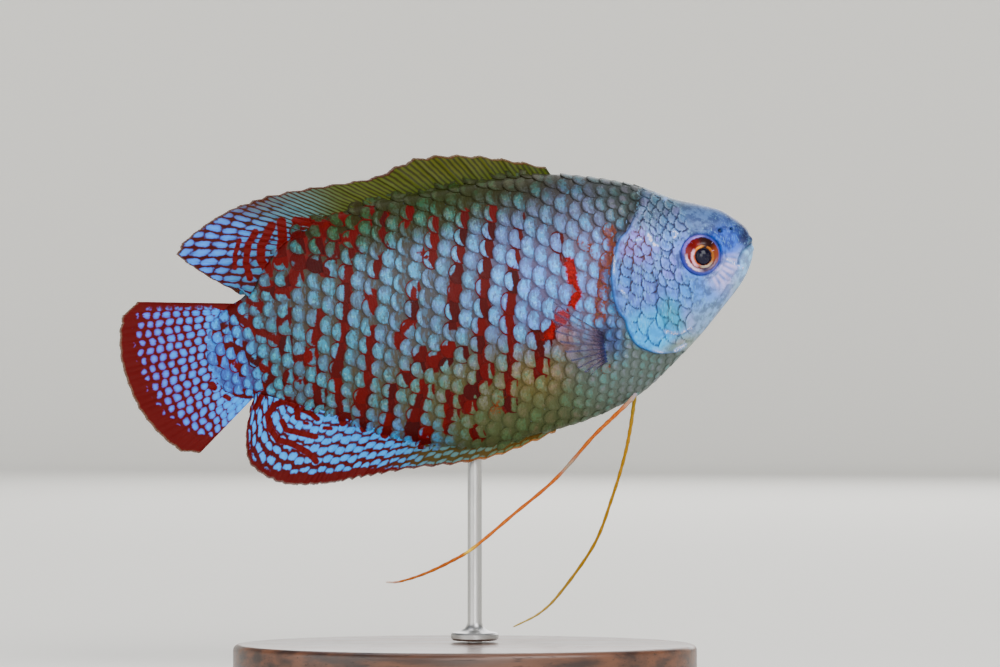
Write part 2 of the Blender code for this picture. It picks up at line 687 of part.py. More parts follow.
def build():
    for obj in list(bpy.data.objects):
        bpy.data.objects.remove(obj)
    pose = bpy.data.objects.new("fish_pose", None)
    bpy.context.collection.objects.link(pose)
    pose.location = [c * MM for c in FISH_MIDDLE]
    pose.rotation_euler = (0.0, -NOSE_UP, 0.0)

    nodes = fish_body()
    fish = [(nodes["head"], "head_skin"), (nodes["lower_jaw"], "head_skin"),
            (nodes["trunk"], "scales"), (nodes["tail_stalk"], "scales"),
            (upright_fin("dorsal_fin", DORSAL_KEYS, DORSAL_RAYS, DORSAL_SPINES, True), "spotted_fin"),
            (upright_fin("anal_fin", ANAL_KEYS, ANAL_RAYS, ANAL_SPINES, False), "spotted_fin"),
            (tail_fin(), "spotted_fin")]
    for word, side in (("right", -1), ("left", 1)):
        cover = gill_plate("gill_cover_" + word, side, -GILL_THICKNESS, 0.02, GILL_PROUD, 0.0)
        fish.append((cover, "head_skin"))
        fish.append((eye("eye_" + word, side), "eye"))
        fish.append((pectoral_fin("pectoral_fin_" + word, side), "clear_fin"))
    fish.append((feeler("pelvic_feeler_right", FEELER_RIGHT), "feeler"))
    fish.append((feeler("pelvic_feeler_left", FEELER_LEFT), "feeler"))
    for obj, kind in fish:
        obj.parent = pose
        finish(obj, kind)

    base, rod = stand()
    clearance = body_loft("rod_clearance", GAP)
    clearance.parent = pose
    bpy.context.view_layer.update()
    combine(rod, [clearance], "DIFFERENCE")
    keep_largest(rod)
    finish(base, "wood")
    finish(rod, "steel")


build()
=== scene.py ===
"""A dwarf gourami on a display stand: the looks built round the solids of the part.

The fish is worked out in its own frame in millimetres: +X to the snout, +Y to the fish's
left and +Z to its back. world_points() turns that frame nose up over the stand, in metres.
"""
import math

import bpy
import numpy as np
from bpy.props import FloatProperty, FloatVectorProperty, IntProperty, PointerProperty
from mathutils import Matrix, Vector


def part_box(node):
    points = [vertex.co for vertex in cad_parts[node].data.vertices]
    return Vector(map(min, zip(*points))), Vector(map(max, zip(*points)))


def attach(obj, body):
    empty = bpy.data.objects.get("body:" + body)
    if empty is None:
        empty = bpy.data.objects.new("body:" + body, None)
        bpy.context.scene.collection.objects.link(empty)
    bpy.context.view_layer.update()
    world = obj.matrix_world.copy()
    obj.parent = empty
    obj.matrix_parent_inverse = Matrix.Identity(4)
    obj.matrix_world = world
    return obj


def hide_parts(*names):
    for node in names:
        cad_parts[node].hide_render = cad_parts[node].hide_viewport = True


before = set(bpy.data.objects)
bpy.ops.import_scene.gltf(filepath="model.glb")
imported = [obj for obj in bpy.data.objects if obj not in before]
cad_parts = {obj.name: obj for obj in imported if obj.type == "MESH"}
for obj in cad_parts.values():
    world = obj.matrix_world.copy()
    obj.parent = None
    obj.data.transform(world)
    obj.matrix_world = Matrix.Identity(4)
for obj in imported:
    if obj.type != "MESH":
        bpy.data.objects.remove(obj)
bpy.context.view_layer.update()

bl_info = {
    "name": "Dwarf Gourami Model",
    "version": (1, 0, 0),
    "blender": (4, 5, 0),
    "location": "View3D > Sidebar > Gourami",
    "description": "Builds a life-size dwarf gourami with solid scales on a display stand",
    "category": "Object",
}

MM = 0.001
GAP = 0.3
SIDES = (("right", -1), ("left", 1))

# Body sections from the snout to the end of the scaled tail base: place along the fish,
# height of the back, height of the belly, half thickness, widest height, squareness.
BODY_SECTIONS = (
    (38.60, 0.50, -0.55, 0.45, 0.0, 2.0),
    (38.50, 1.15, -1.15, 1.05, 0.0, 2.0),
    (38.25, 1.85, -1.90, 1.60, 0.0, 2.0),
    (37.75, 2.55, -2.85, 2.10, 0.0, 2.1),
    (36.90, 3.45, -4.05, 2.55, 0.0, 2.2),
    (35.60, 4.65, -5.40, 3.10, -0.1, 2.2),
    (33.50, 5.75, -7.15, 3.75, -0.2, 2.2),
    (30.00, 7.40, -10.00, 4.60, -0.4, 2.2),
    (26.00, 9.90, -12.75, 5.20, -0.5, 2.1),
    (21.00, 12.00, -15.75, 5.50, -0.5, 2.0),
    (15.00, 13.75, -17.35, 5.60, -0.4, 2.0),
    (8.00, 14.50, -18.10, 5.40, 0.0, 2.0),
    (0.00, 14.75, -18.10, 4.90, 0.3, 2.0),
    (-7.00, 14.65, -16.20, 4.20, 0.6, 2.0),
    (-13.00, 14.20, -13.40, 3.40, 0.8, 2.0),
    (-18.00, 13.00, -10.45, 2.65, 0.8, 2.0),
    (-21.50, 10.40, -8.60, 2.15, 0.5, 2.0),
    (-24.00, 7.40, -7.35, 1.75, 0.2, 2.0),
    (-26.00, 6.10, -6.45, 1.30, 0.0, 2.0),
    (-28.00, 5.40, -6.00, 0.85, -0.2, 2.0),
    (-29.60, 4.30, -4.90, 0.52, -0.3, 2.0),
    (-30.60, 2.60, -3.20, 0.36, -0.3, 2.0),
    (-31.00, 1.00, -1.50, 0.26, -0.3, 2.0),
)
SNOUT_END = (38.64, 0.0, -0.02)
STALK_END = (-31.08, 0.0, -0.3)
SKIN_SIDE_POINTS = 164
HEAD_STEP = 0.14
TRUNK_STEP = 0.55
TRUNK_INSET = 0.10

# Scaled sheaths at the roots of the upright fins: how far they stand out, their half thickness
# at root and tip, and how far down into the body they run.
SHEATH_REACH = 0.8
SHEATH_ROOT = 0.85
SHEATH_TIP = 0.30
SHEATH_SUNK = 3.0

# The head's lines in side view.
GILL_RIM = (
    (25.9, 7.5), (24.7, 6.0), (23.5, 4.5), (22.2, 3.6), (21.4, 2.0), (20.6, 0.2), (20.2, -1.6),
    (20.1, -3.5), (20.3, -5.1), (20.9, -6.3), (20.9, -7.2), (21.2, -8.6), (21.7, -9.6),
    (22.7, -10.4), (23.8, -11.0), (25.1, -11.3), (27.0, -11.5), (28.6, -11.5),
)
CHEEK_EDGE = ((26.6, 2.0), (26.2, 0.1), (25.3, -4.6), (25.6, -6.6), (25.9, -8.5), (27.4, -9.3),
              (29.4, -8.6))
MOUTH_LINE = (
    (40.5, 0.75), (38.8, -0.05), (37.7, -0.6), (36.9, -1.1), (36.35, -1.8), (36.1, -2.7),
    (35.2, -4.0), (33.6, -5.7), (31.9, -7.5), (30.4, -9.4), (29.4, -11.6),
)
MOUTH_CORNER_X = 36.2
NOSTRILS = ((34.9, 2.2, 0.34), (36.3, 2.1, 0.22))
CHEEK_RIBS = 34
EYE_PLACE = (31.9, -0.3)
EYE_RADIUS = 2.65
EYE_HALF_DEPTH = 1.9
EYE_SUNK = 0.8
EYE_FORWARD = math.radians(12.0)
IRIS_CROWDING = 1.35
PUPIL_PLACE = (0.05, -0.26)
PUPIL_RADIUS = 1.04
PUPIL_HALF_DEPTH = 0.62
PUPIL_STRETCH = 1.07
PUPIL_FORWARD = 1.20

# Scales: spacing of the columns and of the scales in a column, and a scale's size.
COLUMN_STEP = 1.78
ROW_STEP = 2.35
COLUMN_SLANT = 0.32
FIRST_COLUMN = -2.2
SCALE_LENGTH = 3.1
SCALE_HALF_WIDTH = 1.36
SCALE_SINK = 0.20
SCALE_LIFT = 0.13
SCALE_WALL = 0.09

# Fins: place of the root along the body, then the ray's tip, in side view.
DORSAL_KEYS = (
    (16.0, 15.3, 14.6), (12.5, 11.2, 16.4), (8.0, 5.6, 18.2), (3.0, -0.7, 19.1),
    (-2.0, -6.3, 17.8), (-8.0, -13.8, 18.15), (-13.0, -20.4, 18.2),
    (-17.0, -26.4, 16.9), (-19.8, -32.0, 13.9), (-21.8, -30.2, 11.2),
    (-23.3, -27.7, 8.8), (-24.3, -25.6, 7.5),
)
ANAL_KEYS = (
    (10.2, 9.6, -18.3), (5.0, 2.6, -19.6), (0.0, -3.0, -19.65), (-5.0, -9.0, -19.0),
    (-10.0, -15.0, -18.8), (-15.0, -20.6, -18.5), (-19.0, -25.4, -17.3),
    (-22.0, -28.5, -14.4), (-24.0, -28.6, -11.8), (-25.4, -27.9, -9.2),
    (-26.0, -27.0, -7.6),
)
TAIL_KEYS = (
    (5.9, -39.3, 8.9), (4.9, -40.6, 6.9), (3.6, -41.4, 4.3), (2.0, -41.7, 1.8),
    (0.3, -41.5, -0.7), (-1.4, -41.1, -3.3), (-3.0, -40.2, -5.9), (-4.4, -38.7, -8.5),
    (-5.4, -36.9, -10.7), (-6.2, -35.1, -12.0),
)
STALK_END_TOP = (-25.0, 6.1)
STALK_END_BOTTOM = (-26.5, -6.4)
PECTORAL_ROOT_TOP = (18.2, -7.2)
PECTORAL_ROOT_BOTTOM = (17.9, -11.2)
PECTORAL_TIPS = (
    (12.6, -13.2, -2.2), (12.0, -14.8, -4.2), (12.2, -15.6, -6.6), (12.9, -15.2, -9.0),
    (14.0, -13.2, -11.0), (15.4, -10.6, -12.0),
)
FEELER_ROUTES = {
    "right": (
        (20.9, -0.6, -13.5), (20.6, -0.9, -14.6), (20.0, -1.3, -15.9), (17.2, -2.0, -17.7),
        (14.0, -2.6, -19.7), (8.4, -3.3, -23.8),
        (2.4, -3.8, -27.0), (-3.3, -4.2, -30.0), (-6.5, -4.4, -31.1), (-10.0, -4.5, -31.9),
        (-13.2, -4.5, -32.2), (-14.9, -4.4, -31.9),
    ),
    "left": (
        (20.8, 0.6, -13.5), (20.7, 0.9, -14.6), (20.2, 1.4, -16.2), (18.9, 3.2, -19.9),
        (17.4, 4.9, -23.4),
        (15.0, 7.2, -27.9), (11.6, 9.4, -33.3), (6.3, 11.6, -38.4), (3.0, 12.4, -40.6),
        (-0.8, 12.8, -41.7),
    ),
}
FEELER_RADII = (0.34, 0.25, 0.21, 0.20, 0.10)
FEELER_RINGS = 150

# Markings: width of each stroke, then the points it runs through, in side view.
FLANK_MARKS = (
    (0.88, (-11.4, 7.5), (-12.4, 3.4), (-13.3, 0.4), (-14.2, -2.1), (-15.6, -4.9), (-15.9, -8.0),
     (-16.1, -11.5)),
    (1.12, (-9.4, 3.2), (-9.4, 2.1)),
    (1.00, (-10.0, -1.4), (-11.2, -4.0), (-11.7, -7.0), (-13.2, -9.2), (-13.7, -12.7)),
    (0.88, (-4.0, 2.9), (-4.8, -0.8), (-6.7, -2.2), (-7.0, -3.4)),
    (0.75, (-6.2, 10.5), (-5.8, 8.9)),
    (0.62, (-7.1, 7.6), (-8.3, 5.6)),
    (1.05, (-9.1, -8.5), (-9.9, -11.2), (-11.3, -14.0)),
    (1.40, (-5.4, -9.6), (-6.4, -11.4), (-8.0, -14.4)),
    (1.12, (1.5, 3.5), (0.4, 0.2), (0.3, -2.1)),
    (0.75, (-0.5, -2.3), (0.4, -2.4)),
    (1.60, (-4.9, -5.6), (-4.1, -6.5), (-2.7, -6.5), (-1.7, -5.5)),
    (1.40, (-7.0, -7.2), (-6.9, -7.9)),
    (0.50, (4.2, 11.1), (2.7, 7.1), (1.7, 4.0)),
    (0.50, (7.7, 10.9), (6.5, 7.6), (5.1, 3.0)),
    (1.12, (5.0, 3.0), (4.4, 0.3), (4.3, -2.2), (2.9, -4.2), (2.6, -7.5), (2.3, -9.7),
     (0.1, -11.0), (-0.6, -12.9)),
    (0.38, (10.8, 8.9), (9.6, 5.6), (8.7, 3.0)),
    (1.00, (8.6, 3.0), (8.6, 1.0), (7.4, -1.1), (6.7, -3.2), (6.7, -5.5), (6.0, -7.9),
     (5.4, -9.8), (4.7, -12.2), (4.4, -13.9)),
    (1.75, (-12.8, -8.7), (-13.3, -9.8)),
    (1.12, (9.9, -5.3), (9.9, -7.7), (9.0, -10.5)),
    (1.38, (10.2, -6.6), (12.0, -5.6), (13.1, -4.4)),
    (0.38, (15.0, 5.8), (14.5, 4.6), (15.0, 2.4)),
    (0.62, (0.6, -5.6), (0.5, -6.5)),
    (1.12, (-2.4, -11.2), (-2.9, -13.2)),
    (0.75, (-0.3, -15.8), (-0.1, -16.6)),
    (0.62, (-6.2, -14.5), (-7.2, -16.4)),
    (0.62, (-3.1, -13.9), (-3.6, -15.1)),
    (0.38, (0.3, 11.2), (-1.1, 5.6)),
    (0.75, (-0.5, 8.5), (-0.5, 7.3)),
    (0.75, (-2.5, 7.3), (-1.2, 6.1)),
    (0.75, (-20.1, 3.0), (-21.2, 2.1)),
    (0.88, (-21.1, 0.4), (-21.7, -1.0)),
    (1.00, (-16.1, 2.4), (-17.3, -0.7)),
    (1.38, (-19.6, -2.5), (-18.7, -2.5)),
    (0.50, (-17.6, -3.7), (-17.6, -4.7)),
    (0.62, (-21.6, -4.2), (-22.3, -5.2)),
    (0.50, (-20.6, -5.1), (-20.2, -5.5)),
    (1.12, (-18.5, -6.5), (-18.6, -8.3)),
    (0.62, (-20.7, -8.8), (-19.7, -9.6), (-19.1, -10.4)),
    (0.62, (-24.3, 5.9), (-23.5, 4.7)),
    (0.75, (-26.6, 5.5), (-25.7, 3.7), (-24.6, 2.0), (-22.6, 0.8), (-21.3, -0.5)),
    (0.62, (-27.9, 1.2), (-26.2, -0.1), (-25.6, -1.5), (-23.9, -3.0), (-23.8, -3.9),
     (-24.8, -5.5), (-26.4, -7.4)),
)
BRIGHT_MARKS = (
    (1.00, (15.7, 2.4), (15.6, -0.5), (15.7, -1.8), (14.8, -3.1)),
    (0.95, (13.4, -4.2), (12.2, -5.2)),
    (0.50, (12.2, -5.2), (10.6, -6.6)),
)
BACK_MARKS = (
    (1.12, (-18.4, 14.6), (-18.7, 12.4), (-19.8, 9.8)),
    (1.00, (-19.7, 14.4), (-21.5, 12.2), (-21.9, 10.5), (-21.3, 9.0)),
    (0.75, (-21.8, 14.1), (-23.0, 12.8), (-23.8, 10.7), (-23.7, 8.6)),
    (0.50, (-24.0, 13.5), (-24.9, 11.9), (-25.3, 10.2)),
    (1.50, (-16.9, 12.5), (-16.5, 11.8)),
    (1.00, (-16.6, 14.4), (-14.7, 13.7), (-12.8, 13.0)),
    (1.00, (-13.1, 12.8), (-14.5, 11.0), (-13.9, 9.9)),
    (1.00, (-11.1, 13.7), (-10.6, 13.4)),
    (0.75, (-9.3, 11.7), (-10.5, 10.7), (-12.5, 11.0)),
    (0.62, (-7.1, 14.3), (-8.1, 12.2)),
    (1.25, (-18.3, 10.3), (-16.5, 9.1), (-15.3, 8.4), (-14.2, 7.4)),
    (1.12, (-17.5, 8.8), (-18.6, 7.0), (-20.0, 6.2), (-22.1, 6.9)),
    (0.62, (-12.5, 9.8), (-13.5, 8.5)),
    (0.62, (-10.6, 9.1), (-9.2, 9.6)),
    (0.50, (-16.4, 11.2), (-15.8, 10.3)),
    (0.50, (-5.2, 12.9), (-5.9, 12.0)),
    (0.50, (-2.7, 12.6), (-3.5, 11.0)),
)
TAIL_MARKS = (
    (0.53, (-29.3, 2.8), (-27.9, 3.3)),
    (0.70, (-28.4, 1.1), (-26.8, 0.1)),
    (0.70, (-28.7, 6.2), (-26.8, 5.2), (-26.0, 3.7)),
    (0.53, (-28.0, -1.2), (-27.3, -2.6)),
    (0.70, (-31.1, -3.4), (-30.9, -3.9)),
    (0.53, (-29.8, -5.2), (-29.4, -5.6)),
    (0.53, (-28.4, -5.3), (-26.8, -5.9)),
    (0.53, (-29.2, -0.3), (-29.6, -1.1)),
)
ANAL_MARKS = (
    (0.73, (-21.5, -9.7), (-21.3, -8.3), (-22.6, -7.3), (-24.0, -7.6), (-25.1, -8.6),
     (-25.2, -10.2), (-24.5, -11.9), (-22.8, -12.8), (-21.2, -14.2), (-20.4, -15.5)),
    (0.65, (-23.5, -9.7), (-23.2, -10.9), (-21.4, -11.8), (-19.8, -12.5)),
    (0.40, (-18.5, -11.7), (-17.7, -11.9)),
    (0.33, (-20.8, -10.5), (-20.4, -10.7)),
)
BROWN_MARKS = (
    (0.95, (21.1, 5.0), (21.0, 2.7), (19.5, 0.5), (18.6, -2.2), (17.7, -5.3)),
    (0.45, (3.6, -12.4), (2.6, -14.2)),
    (0.38, (17.6, 4.4), (19.0, 2.6)),
    (0.15, (17.5, -11.4), (17.2, -11.8)),
)

# Stage, in metres: the floor's flat part, its bend and its upright rim, the camera's place, the
# width that it sees at the fish, and the height that the lights face.
FLOOR_FLAT, FLOOR_BEND, FLOOR_RISE = 1.0, 0.45, 0.2
FLOOR_CELLS = 120
CAMERA_ALONG, CAMERA_HEIGHT, VIEW_WIDTH = 0.004375, 0.0428, 0.125
AIM_HEIGHT = 0.045

# Soft lights: place and width in metres, which power setting each takes, and its multiple.
LIGHTS = {
    "key_light": ((0.30, -0.55, 0.55), 0.45, "key_watts", 1),
    "fill_light": ((-0.55, -0.50, 0.25), 0.60, "fill_watts", 1),
    "front_light": ((0.05, -0.75, 0.22), 0.30, "front_watts", 1),
    "top_light": ((-0.05, 0.15, 0.75), 0.50, "top_watts", 1),
    "back_light": ((0.15, 0.62, 0.40), 0.60, "fill_watts", 2),
}

# Colour zones: place and reach in side view, colour of the scales' shine, of what lies between.
BODY_ZONES = (
    (-15.0, 0.0, 8.0, 7.0, (104, 150, 180), (90, 80, 66)),
    (-2.0, 1.0, 8.0, 7.0, (124, 162, 200), (94, 94, 98)),
    (10.0, 1.0, 6.0, 6.0, (148, 178, 232), (114, 108, 150)),
    (17.0, 1.0, 3.0, 6.0, (148, 178, 234), (128, 112, 136)),
    (15.0, 8.5, 6.0, 3.5, (98, 122, 150), (72, 72, 74)),
    (24.0, 9.5, 4.0, 2.5, (100, 116, 120), (70, 78, 76)),
    (0.0, 10.8, 12.0, 1.8, (90, 128, 110), (64, 60, 12)),
    (2.0, 13.6, 9.0, 2.4, (66, 88, 18), (52, 58, 0)),
    (12.0, 13.2, 5.0, 2.2, (74, 84, 24), (54, 48, 4)),
    (-11.0, 12.5, 5.0, 2.8, (72, 96, 44), (56, 46, 4)),
    (0.0, -9.5, 8.0, 4.0, (114, 134, 116), (100, 92, 50)),
    (8.0, -15.0, 8.0, 3.5, (108, 120, 88), (88, 98, 62)),
    (18.0, -12.5, 5.0, 4.0, (126, 148, 152), (108, 120, 116)),
    (19.3, -8.8, 0.8, 1.8, (86, 134, 216), (60, 72, 130)),
    (18.2, -8.2, 0.9, 1.9, (66, 76, 160), (30, 24, 84)),
    (9.0, -11.0, 3.5, 2.6, (144, 140, 116), (126, 104, 50)),
    (13.3, -6.6, 1.1, 1.5, (172, 132, 104), (150, 84, 34)),
    (-11.0, -10.0, 5.0, 4.0, (102, 136, 148), (90, 82, 62)),
    (-14.0, -15.0, 6.0, 3.0, (120, 168, 232), (98, 98, 104)),
    (-22.0, 0.0, 3.0, 5.0, (104, 158, 184), (86, 70, 70)),
    (-28.0, -2.0, 2.6, 5.0, (92, 164, 246), (84, 78, 164)),
    (-22.0, 11.0, 4.0, 3.0, (86, 132, 162), (76, 64, 54)),
)
HEAD_ZONES = (
    (30.0, 6.8, 4.0, 1.8, (106, 126, 154), (68, 86, 110)),
    (33.0, 4.8, 3.0, 1.3, (106, 134, 186), (64, 86, 146)),
    (36.0, 3.4, 1.6, 1.2, (86, 108, 172), (58, 72, 132)),
    (30.0, 4.0, 2.6, 1.2, (132, 152, 202), (72, 86, 144)),
    (35.4, 0.8, 1.3, 1.6, (82, 126, 248), (58, 74, 178)),
    (37.7, 1.1, 0.8, 1.2, (62, 76, 124), (46, 50, 92)),
    (37.0, -3.0, 1.2, 1.6, (186, 196, 240), (114, 130, 172)),
    (34.3, -3.5, 1.8, 1.6, (210, 208, 254), (122, 142, 198)),
    (35.9, -5.0, 1.0, 0.9, (150, 162, 164), (106, 118, 112)),
    (30.5, -4.8, 2.5, 2.2, (128, 162, 234), (86, 102, 152)),
    (31.5, -8.0, 2.6, 1.8, (168, 182, 204), (112, 132, 156)),
    (28.5, -11.4, 3.0, 1.0, (162, 170, 166), (116, 136, 126)),
    (22.8, -2.2, 2.0, 3.0, (124, 154, 228), (84, 78, 110)),
    (24.0, 2.2, 1.6, 1.8, (152, 160, 234), (140, 84, 40)),
    (23.4, -8.2, 2.0, 1.8, (138, 188, 250), (88, 138, 208)),
    (28.4, 0.4, 1.8, 2.4, (150, 166, 234), (72, 74, 128)),
    (26.9, -7.0, 1.0, 1.6, (118, 170, 204), (88, 126, 144)),
    (24.5, 6.2, 1.8, 1.2, (140, 150, 190), (54, 58, 102)),
)

# Painted highlights (glints) on the head: width, then the points that each runs through.
HEAD_GLINTS = (
    (0.45, (23.5, 5.8), (24.1, 7.0)), (0.32, (22.8, 6.5), (23.5, 6.6)),
    (0.60, (25.9, 3.7), (26.1, 2.7)), (0.55, (26.2, 2.2), (27.0, 2.0)),
    (0.35, (29.2, 3.2), (29.8, 2.6)), (0.30, (28.6, 2.5), (29.3, 2.5)),
    (0.30, (24.0, 3.1), (24.9, 3.1)), (0.42, (35.1, -1.6), (35.6, -2.1)),
    (0.35, (36.1, -2.5), (36.5, -2.9)), (0.45, (38.4, 1.7), (38.8, 0.2), (38.4, -1.6)),
    (0.45, (25.6, -8.6), (27.1, -9.2), (28.8, -8.9)), (0.40, (23.6, -10.5), (24.5, -11.0)),
    (0.42, (26.2, -11.1), (27.7, -10.8)), (0.40, (29.2, -10.6), (31.2, -9.7)),
    (0.38, (21.2, -2.5), (21.7, -3.5)), (0.35, (21.3, 2.0), (20.7, -0.4)),
    (0.40, (29.0, 7.4), (29.4, 7.7)),
)

# Colour zones of the upright fins, as on the body.
FIN_ZONES = {
    "dorsal_fin": (
        (6.0, 17.0, 7.0, 3.0, (86, 94, 16), (60, 60, 0)),
        (-8.0, 17.0, 6.0, 2.5, (84, 98, 30), (66, 58, 0)),
        (-21.0, 17.6, 5.0, 1.3, (104, 84, 30), (94, 34, 2)),
        (-18.0, 16.5, 4.0, 2.0, (100, 140, 150), (72, 50, 4)),
        (-27.0, 14.0, 5.0, 3.0, (114, 156, 238), (92, 14, 6)),
        (-22.0, 11.0, 3.5, 2.5, (88, 138, 170), (90, 8, 8)),
        (4.0, 14.5, 8.0, 1.2, (68, 90, 20), (54, 60, 0)),
    ),
    "anal_fin": (
        (-24.0, -12.0, 5.0, 4.0, (122, 172, 240), (108, 10, 14)),
        (-14.0, -16.0, 5.0, 3.0, (116, 166, 228), (104, 8, 4)),
        (-4.0, -18.0, 5.0, 2.0, (100, 134, 136), (88, 74, 30)),
        (6.0, -18.5, 5.0, 2.0, (108, 122, 86), (108, 78, 20)),
    ),
    "tail_fin": (
        (-28.5, -1.5, 3.0, 5.0, (98, 170, 248), (108, 10, 18)),
        (-35.0, -1.0, 4.0, 8.0, (108, 158, 250), (116, 4, 8)),
        (-38.0, 0.0, 2.0, 9.0, (116, 128, 240), (118, 3, 6)),
    ),
}


def smooth_at(points, steps):
    """Points of a smooth curve through the given points, at steps counted in points."""
    pts = np.array(points, float)
    padded = np.vstack([2 * pts[0] - pts[1], pts, 2 * pts[-1] - pts[-2]])
    index = np.minimum(steps.astype(int), len(pts) - 2)
    t = (steps - index)[:, None]
    before, start, end, after = (padded[index + k] for k in range(4))
    bend = 2 * before - 5 * start + 4 * end - after
    turn = 3 * start - before - 3 * end + after
    return start + 0.5 * t * (end - before + t * (bend + t * turn))


def smooth(points, count):
    """A number of points spread along a smooth curve through the given points."""
    return smooth_at(points, np.linspace(0, len(points) - 1, count))


def ease(value, low, high):
    """A soft step from 0 at low to 1 at high, which may lie in either order."""
    t = np.clip((value - low) / (high - low), 0, 1)
    return t * t * (3 - 2 * t)


def swell(value, middle, width):
    """A soft rise of height 1 round a middle value."""
    return np.exp(-((value - middle) / width) ** 2)


def unit(vectors):
    """Vectors brought to length 1."""
    return vectors / np.maximum(np.linalg.norm(vectors, axis=-1, keepdims=True), 1e-9)


def from_eye(x, z):
    """Distance from the middle of the eye in side view."""
    return np.hypot(x - EYE_PLACE[0], z - EYE_PLACE[1])


def linear(colour):
    """A colour given as 0 to 255 values, in the linear values that shaders take."""
    share = np.asarray(colour, float) / 255
    return np.where(share <= 0.04045, share / 12.92, ((share + 0.055) / 1.055) ** 2.4)


def pigment(colour):
    """The pigment that looks like a colour of 0 to 255 values once the stage's light is on it.

    That light lightens and dulls bright colours most, so those pigments are made the richest.
    """
    plain = linear(colour)
    grey = (plain @ np.array((0.2126, 0.7152, 0.0722)))[..., None]
    rich = grey + (0.98 + 8.0 * grey ** 2.14) * (plain - grey)
    return np.clip((0.454 + 0.66 * grey) * rich, 0.001, 0.92)


def shade(*colour):
    """A pigment as the plain numbers of a socket."""
    return tuple(float(c) for c in pigment(colour))


FINE_SECTIONS = smooth(BODY_SECTIONS, 3000)[::-1]
GILL_CURVE = smooth(GILL_RIM, 90)
MOUTH_CURVE = smooth(MOUTH_LINE, 120)


def section_at(x):
    """Back, belly, half thickness, widest height and squareness at places along the fish."""
    return [np.interp(x, FINE_SECTIONS[:, 0], FINE_SECTIONS[:, k]) for k in range(1, 6)]


def flank(x, z):
    """Half thickness of the body at a place seen from the side, and 0 outside it."""
    back, belly, half, widest, square = section_at(x)
    reach = np.where(z > widest, back - widest, widest - belly)
    inside = np.clip(1 - np.abs((z - widest) / reach) ** square, 0, 1)
    return half * inside ** (1 / square)


def flank_point(x, z, out, side):
    """A point over the flank of one side (-1 right, 1 left), raised along its normal."""
    step = 0.05
    slope_x = (flank(x + step, z) - flank(x - step, z)) / (2 * step)
    slope_z = (flank(x, z + step) - flank(x, z - step)) / (2 * step)
    normal = np.array([-slope_x, 1.0, -slope_z]) / math.sqrt(1 + slope_x ** 2 + slope_z ** 2)
    point = np.array([x, flank(x, z), z]) + out * normal
    return np.array([point[0], side * point[1], point[2]])


def sheath_reach(x, on_back):
    """How far the scaled sheath of an upright fin stands over the back or under the belly."""
    keys = smooth(DORSAL_KEYS if on_back else ANAL_KEYS, 200)
    order = np.argsort(keys[:, 1])
    edge = np.interp(x, keys[order, 1], keys[order, 2])
    back, belly = section_at(x)[:2]
    height = edge - back if on_back else belly - edge
    front = ease(x, 16.0, 12.0) if on_back else ease(x, 10.5, 6.5)
    rear = ease(x, -24.3, -20.5) if on_back else ease(x, -26.0, -22.0)
    return np.clip(0.5 * height, 0, SHEATH_REACH) * front * rear


def half_sections(x, count, fineness=321):
    """Outlines of one flank at places along the fish, from the top of the back down.

    Gives their half thickness and height at points evenly spread along each outline, and the
    length of each outline down to its widest point and to its end.
    """
    back, belly, half, widest, square = [column[:, None] for column in section_at(x)]
    over = sheath_reach(x, True)[:, None]
    under = sheath_reach(x, False)[:, None]
    top, bottom = back + over, belly - under
    turn = np.linspace(math.pi / 2, -math.pi / 2, fineness)[None, :]
    reach = np.where(turn > 0, top - widest, widest - bottom)
    z = widest + reach * np.sin(turn)
    body_reach = np.where(z > widest, back - widest, widest - belly)
    body = half * np.clip(1 - np.abs((z - widest) / body_reach) ** square, 0, 1) ** (1 / square)
    fins = np.zeros_like(z)
    for end, root, far in ((top, back, over), (bottom, belly, under)):
        deep = np.abs(end - root) + SHEATH_SUNK
        share = np.clip(1 - np.abs(end - z) / deep, 0, 1)
        thick = SHEATH_TIP + (SHEATH_ROOT - SHEATH_TIP) * (1 - share)
        rounding = np.sqrt(np.clip(np.abs(end - z) / 0.3, 0, 1))
        beyond = np.abs(z - end) < deep
        thick = thick * rounding * ease(far, 0.0, 0.8) * ease(share, 0, 0.5)
        fins = np.maximum(fins, thick * beyond)
    y = (body ** 3 + np.minimum(fins, half) ** 3) ** (1 / 3)
    y[:, 0] = 0
    y[:, -1] = 0
    length = np.zeros_like(z)
    length[:, 1:] = np.cumsum(np.hypot(np.diff(y, axis=1), np.diff(z, axis=1)), axis=1)
    out_y, out_z = np.zeros((len(x), count)), np.zeros((len(x), count))
    middle = np.zeros(len(x))
    for k in range(len(x)):
        even = np.linspace(0, length[k, -1], count)
        out_y[k] = np.interp(even, length[k], y[k])
        out_z[k] = np.interp(even, length[k], z[k])
        middle[k] = np.interp(-widest[k, 0], -z[k], length[k])
    return out_y, out_z, middle, length[:, -1]


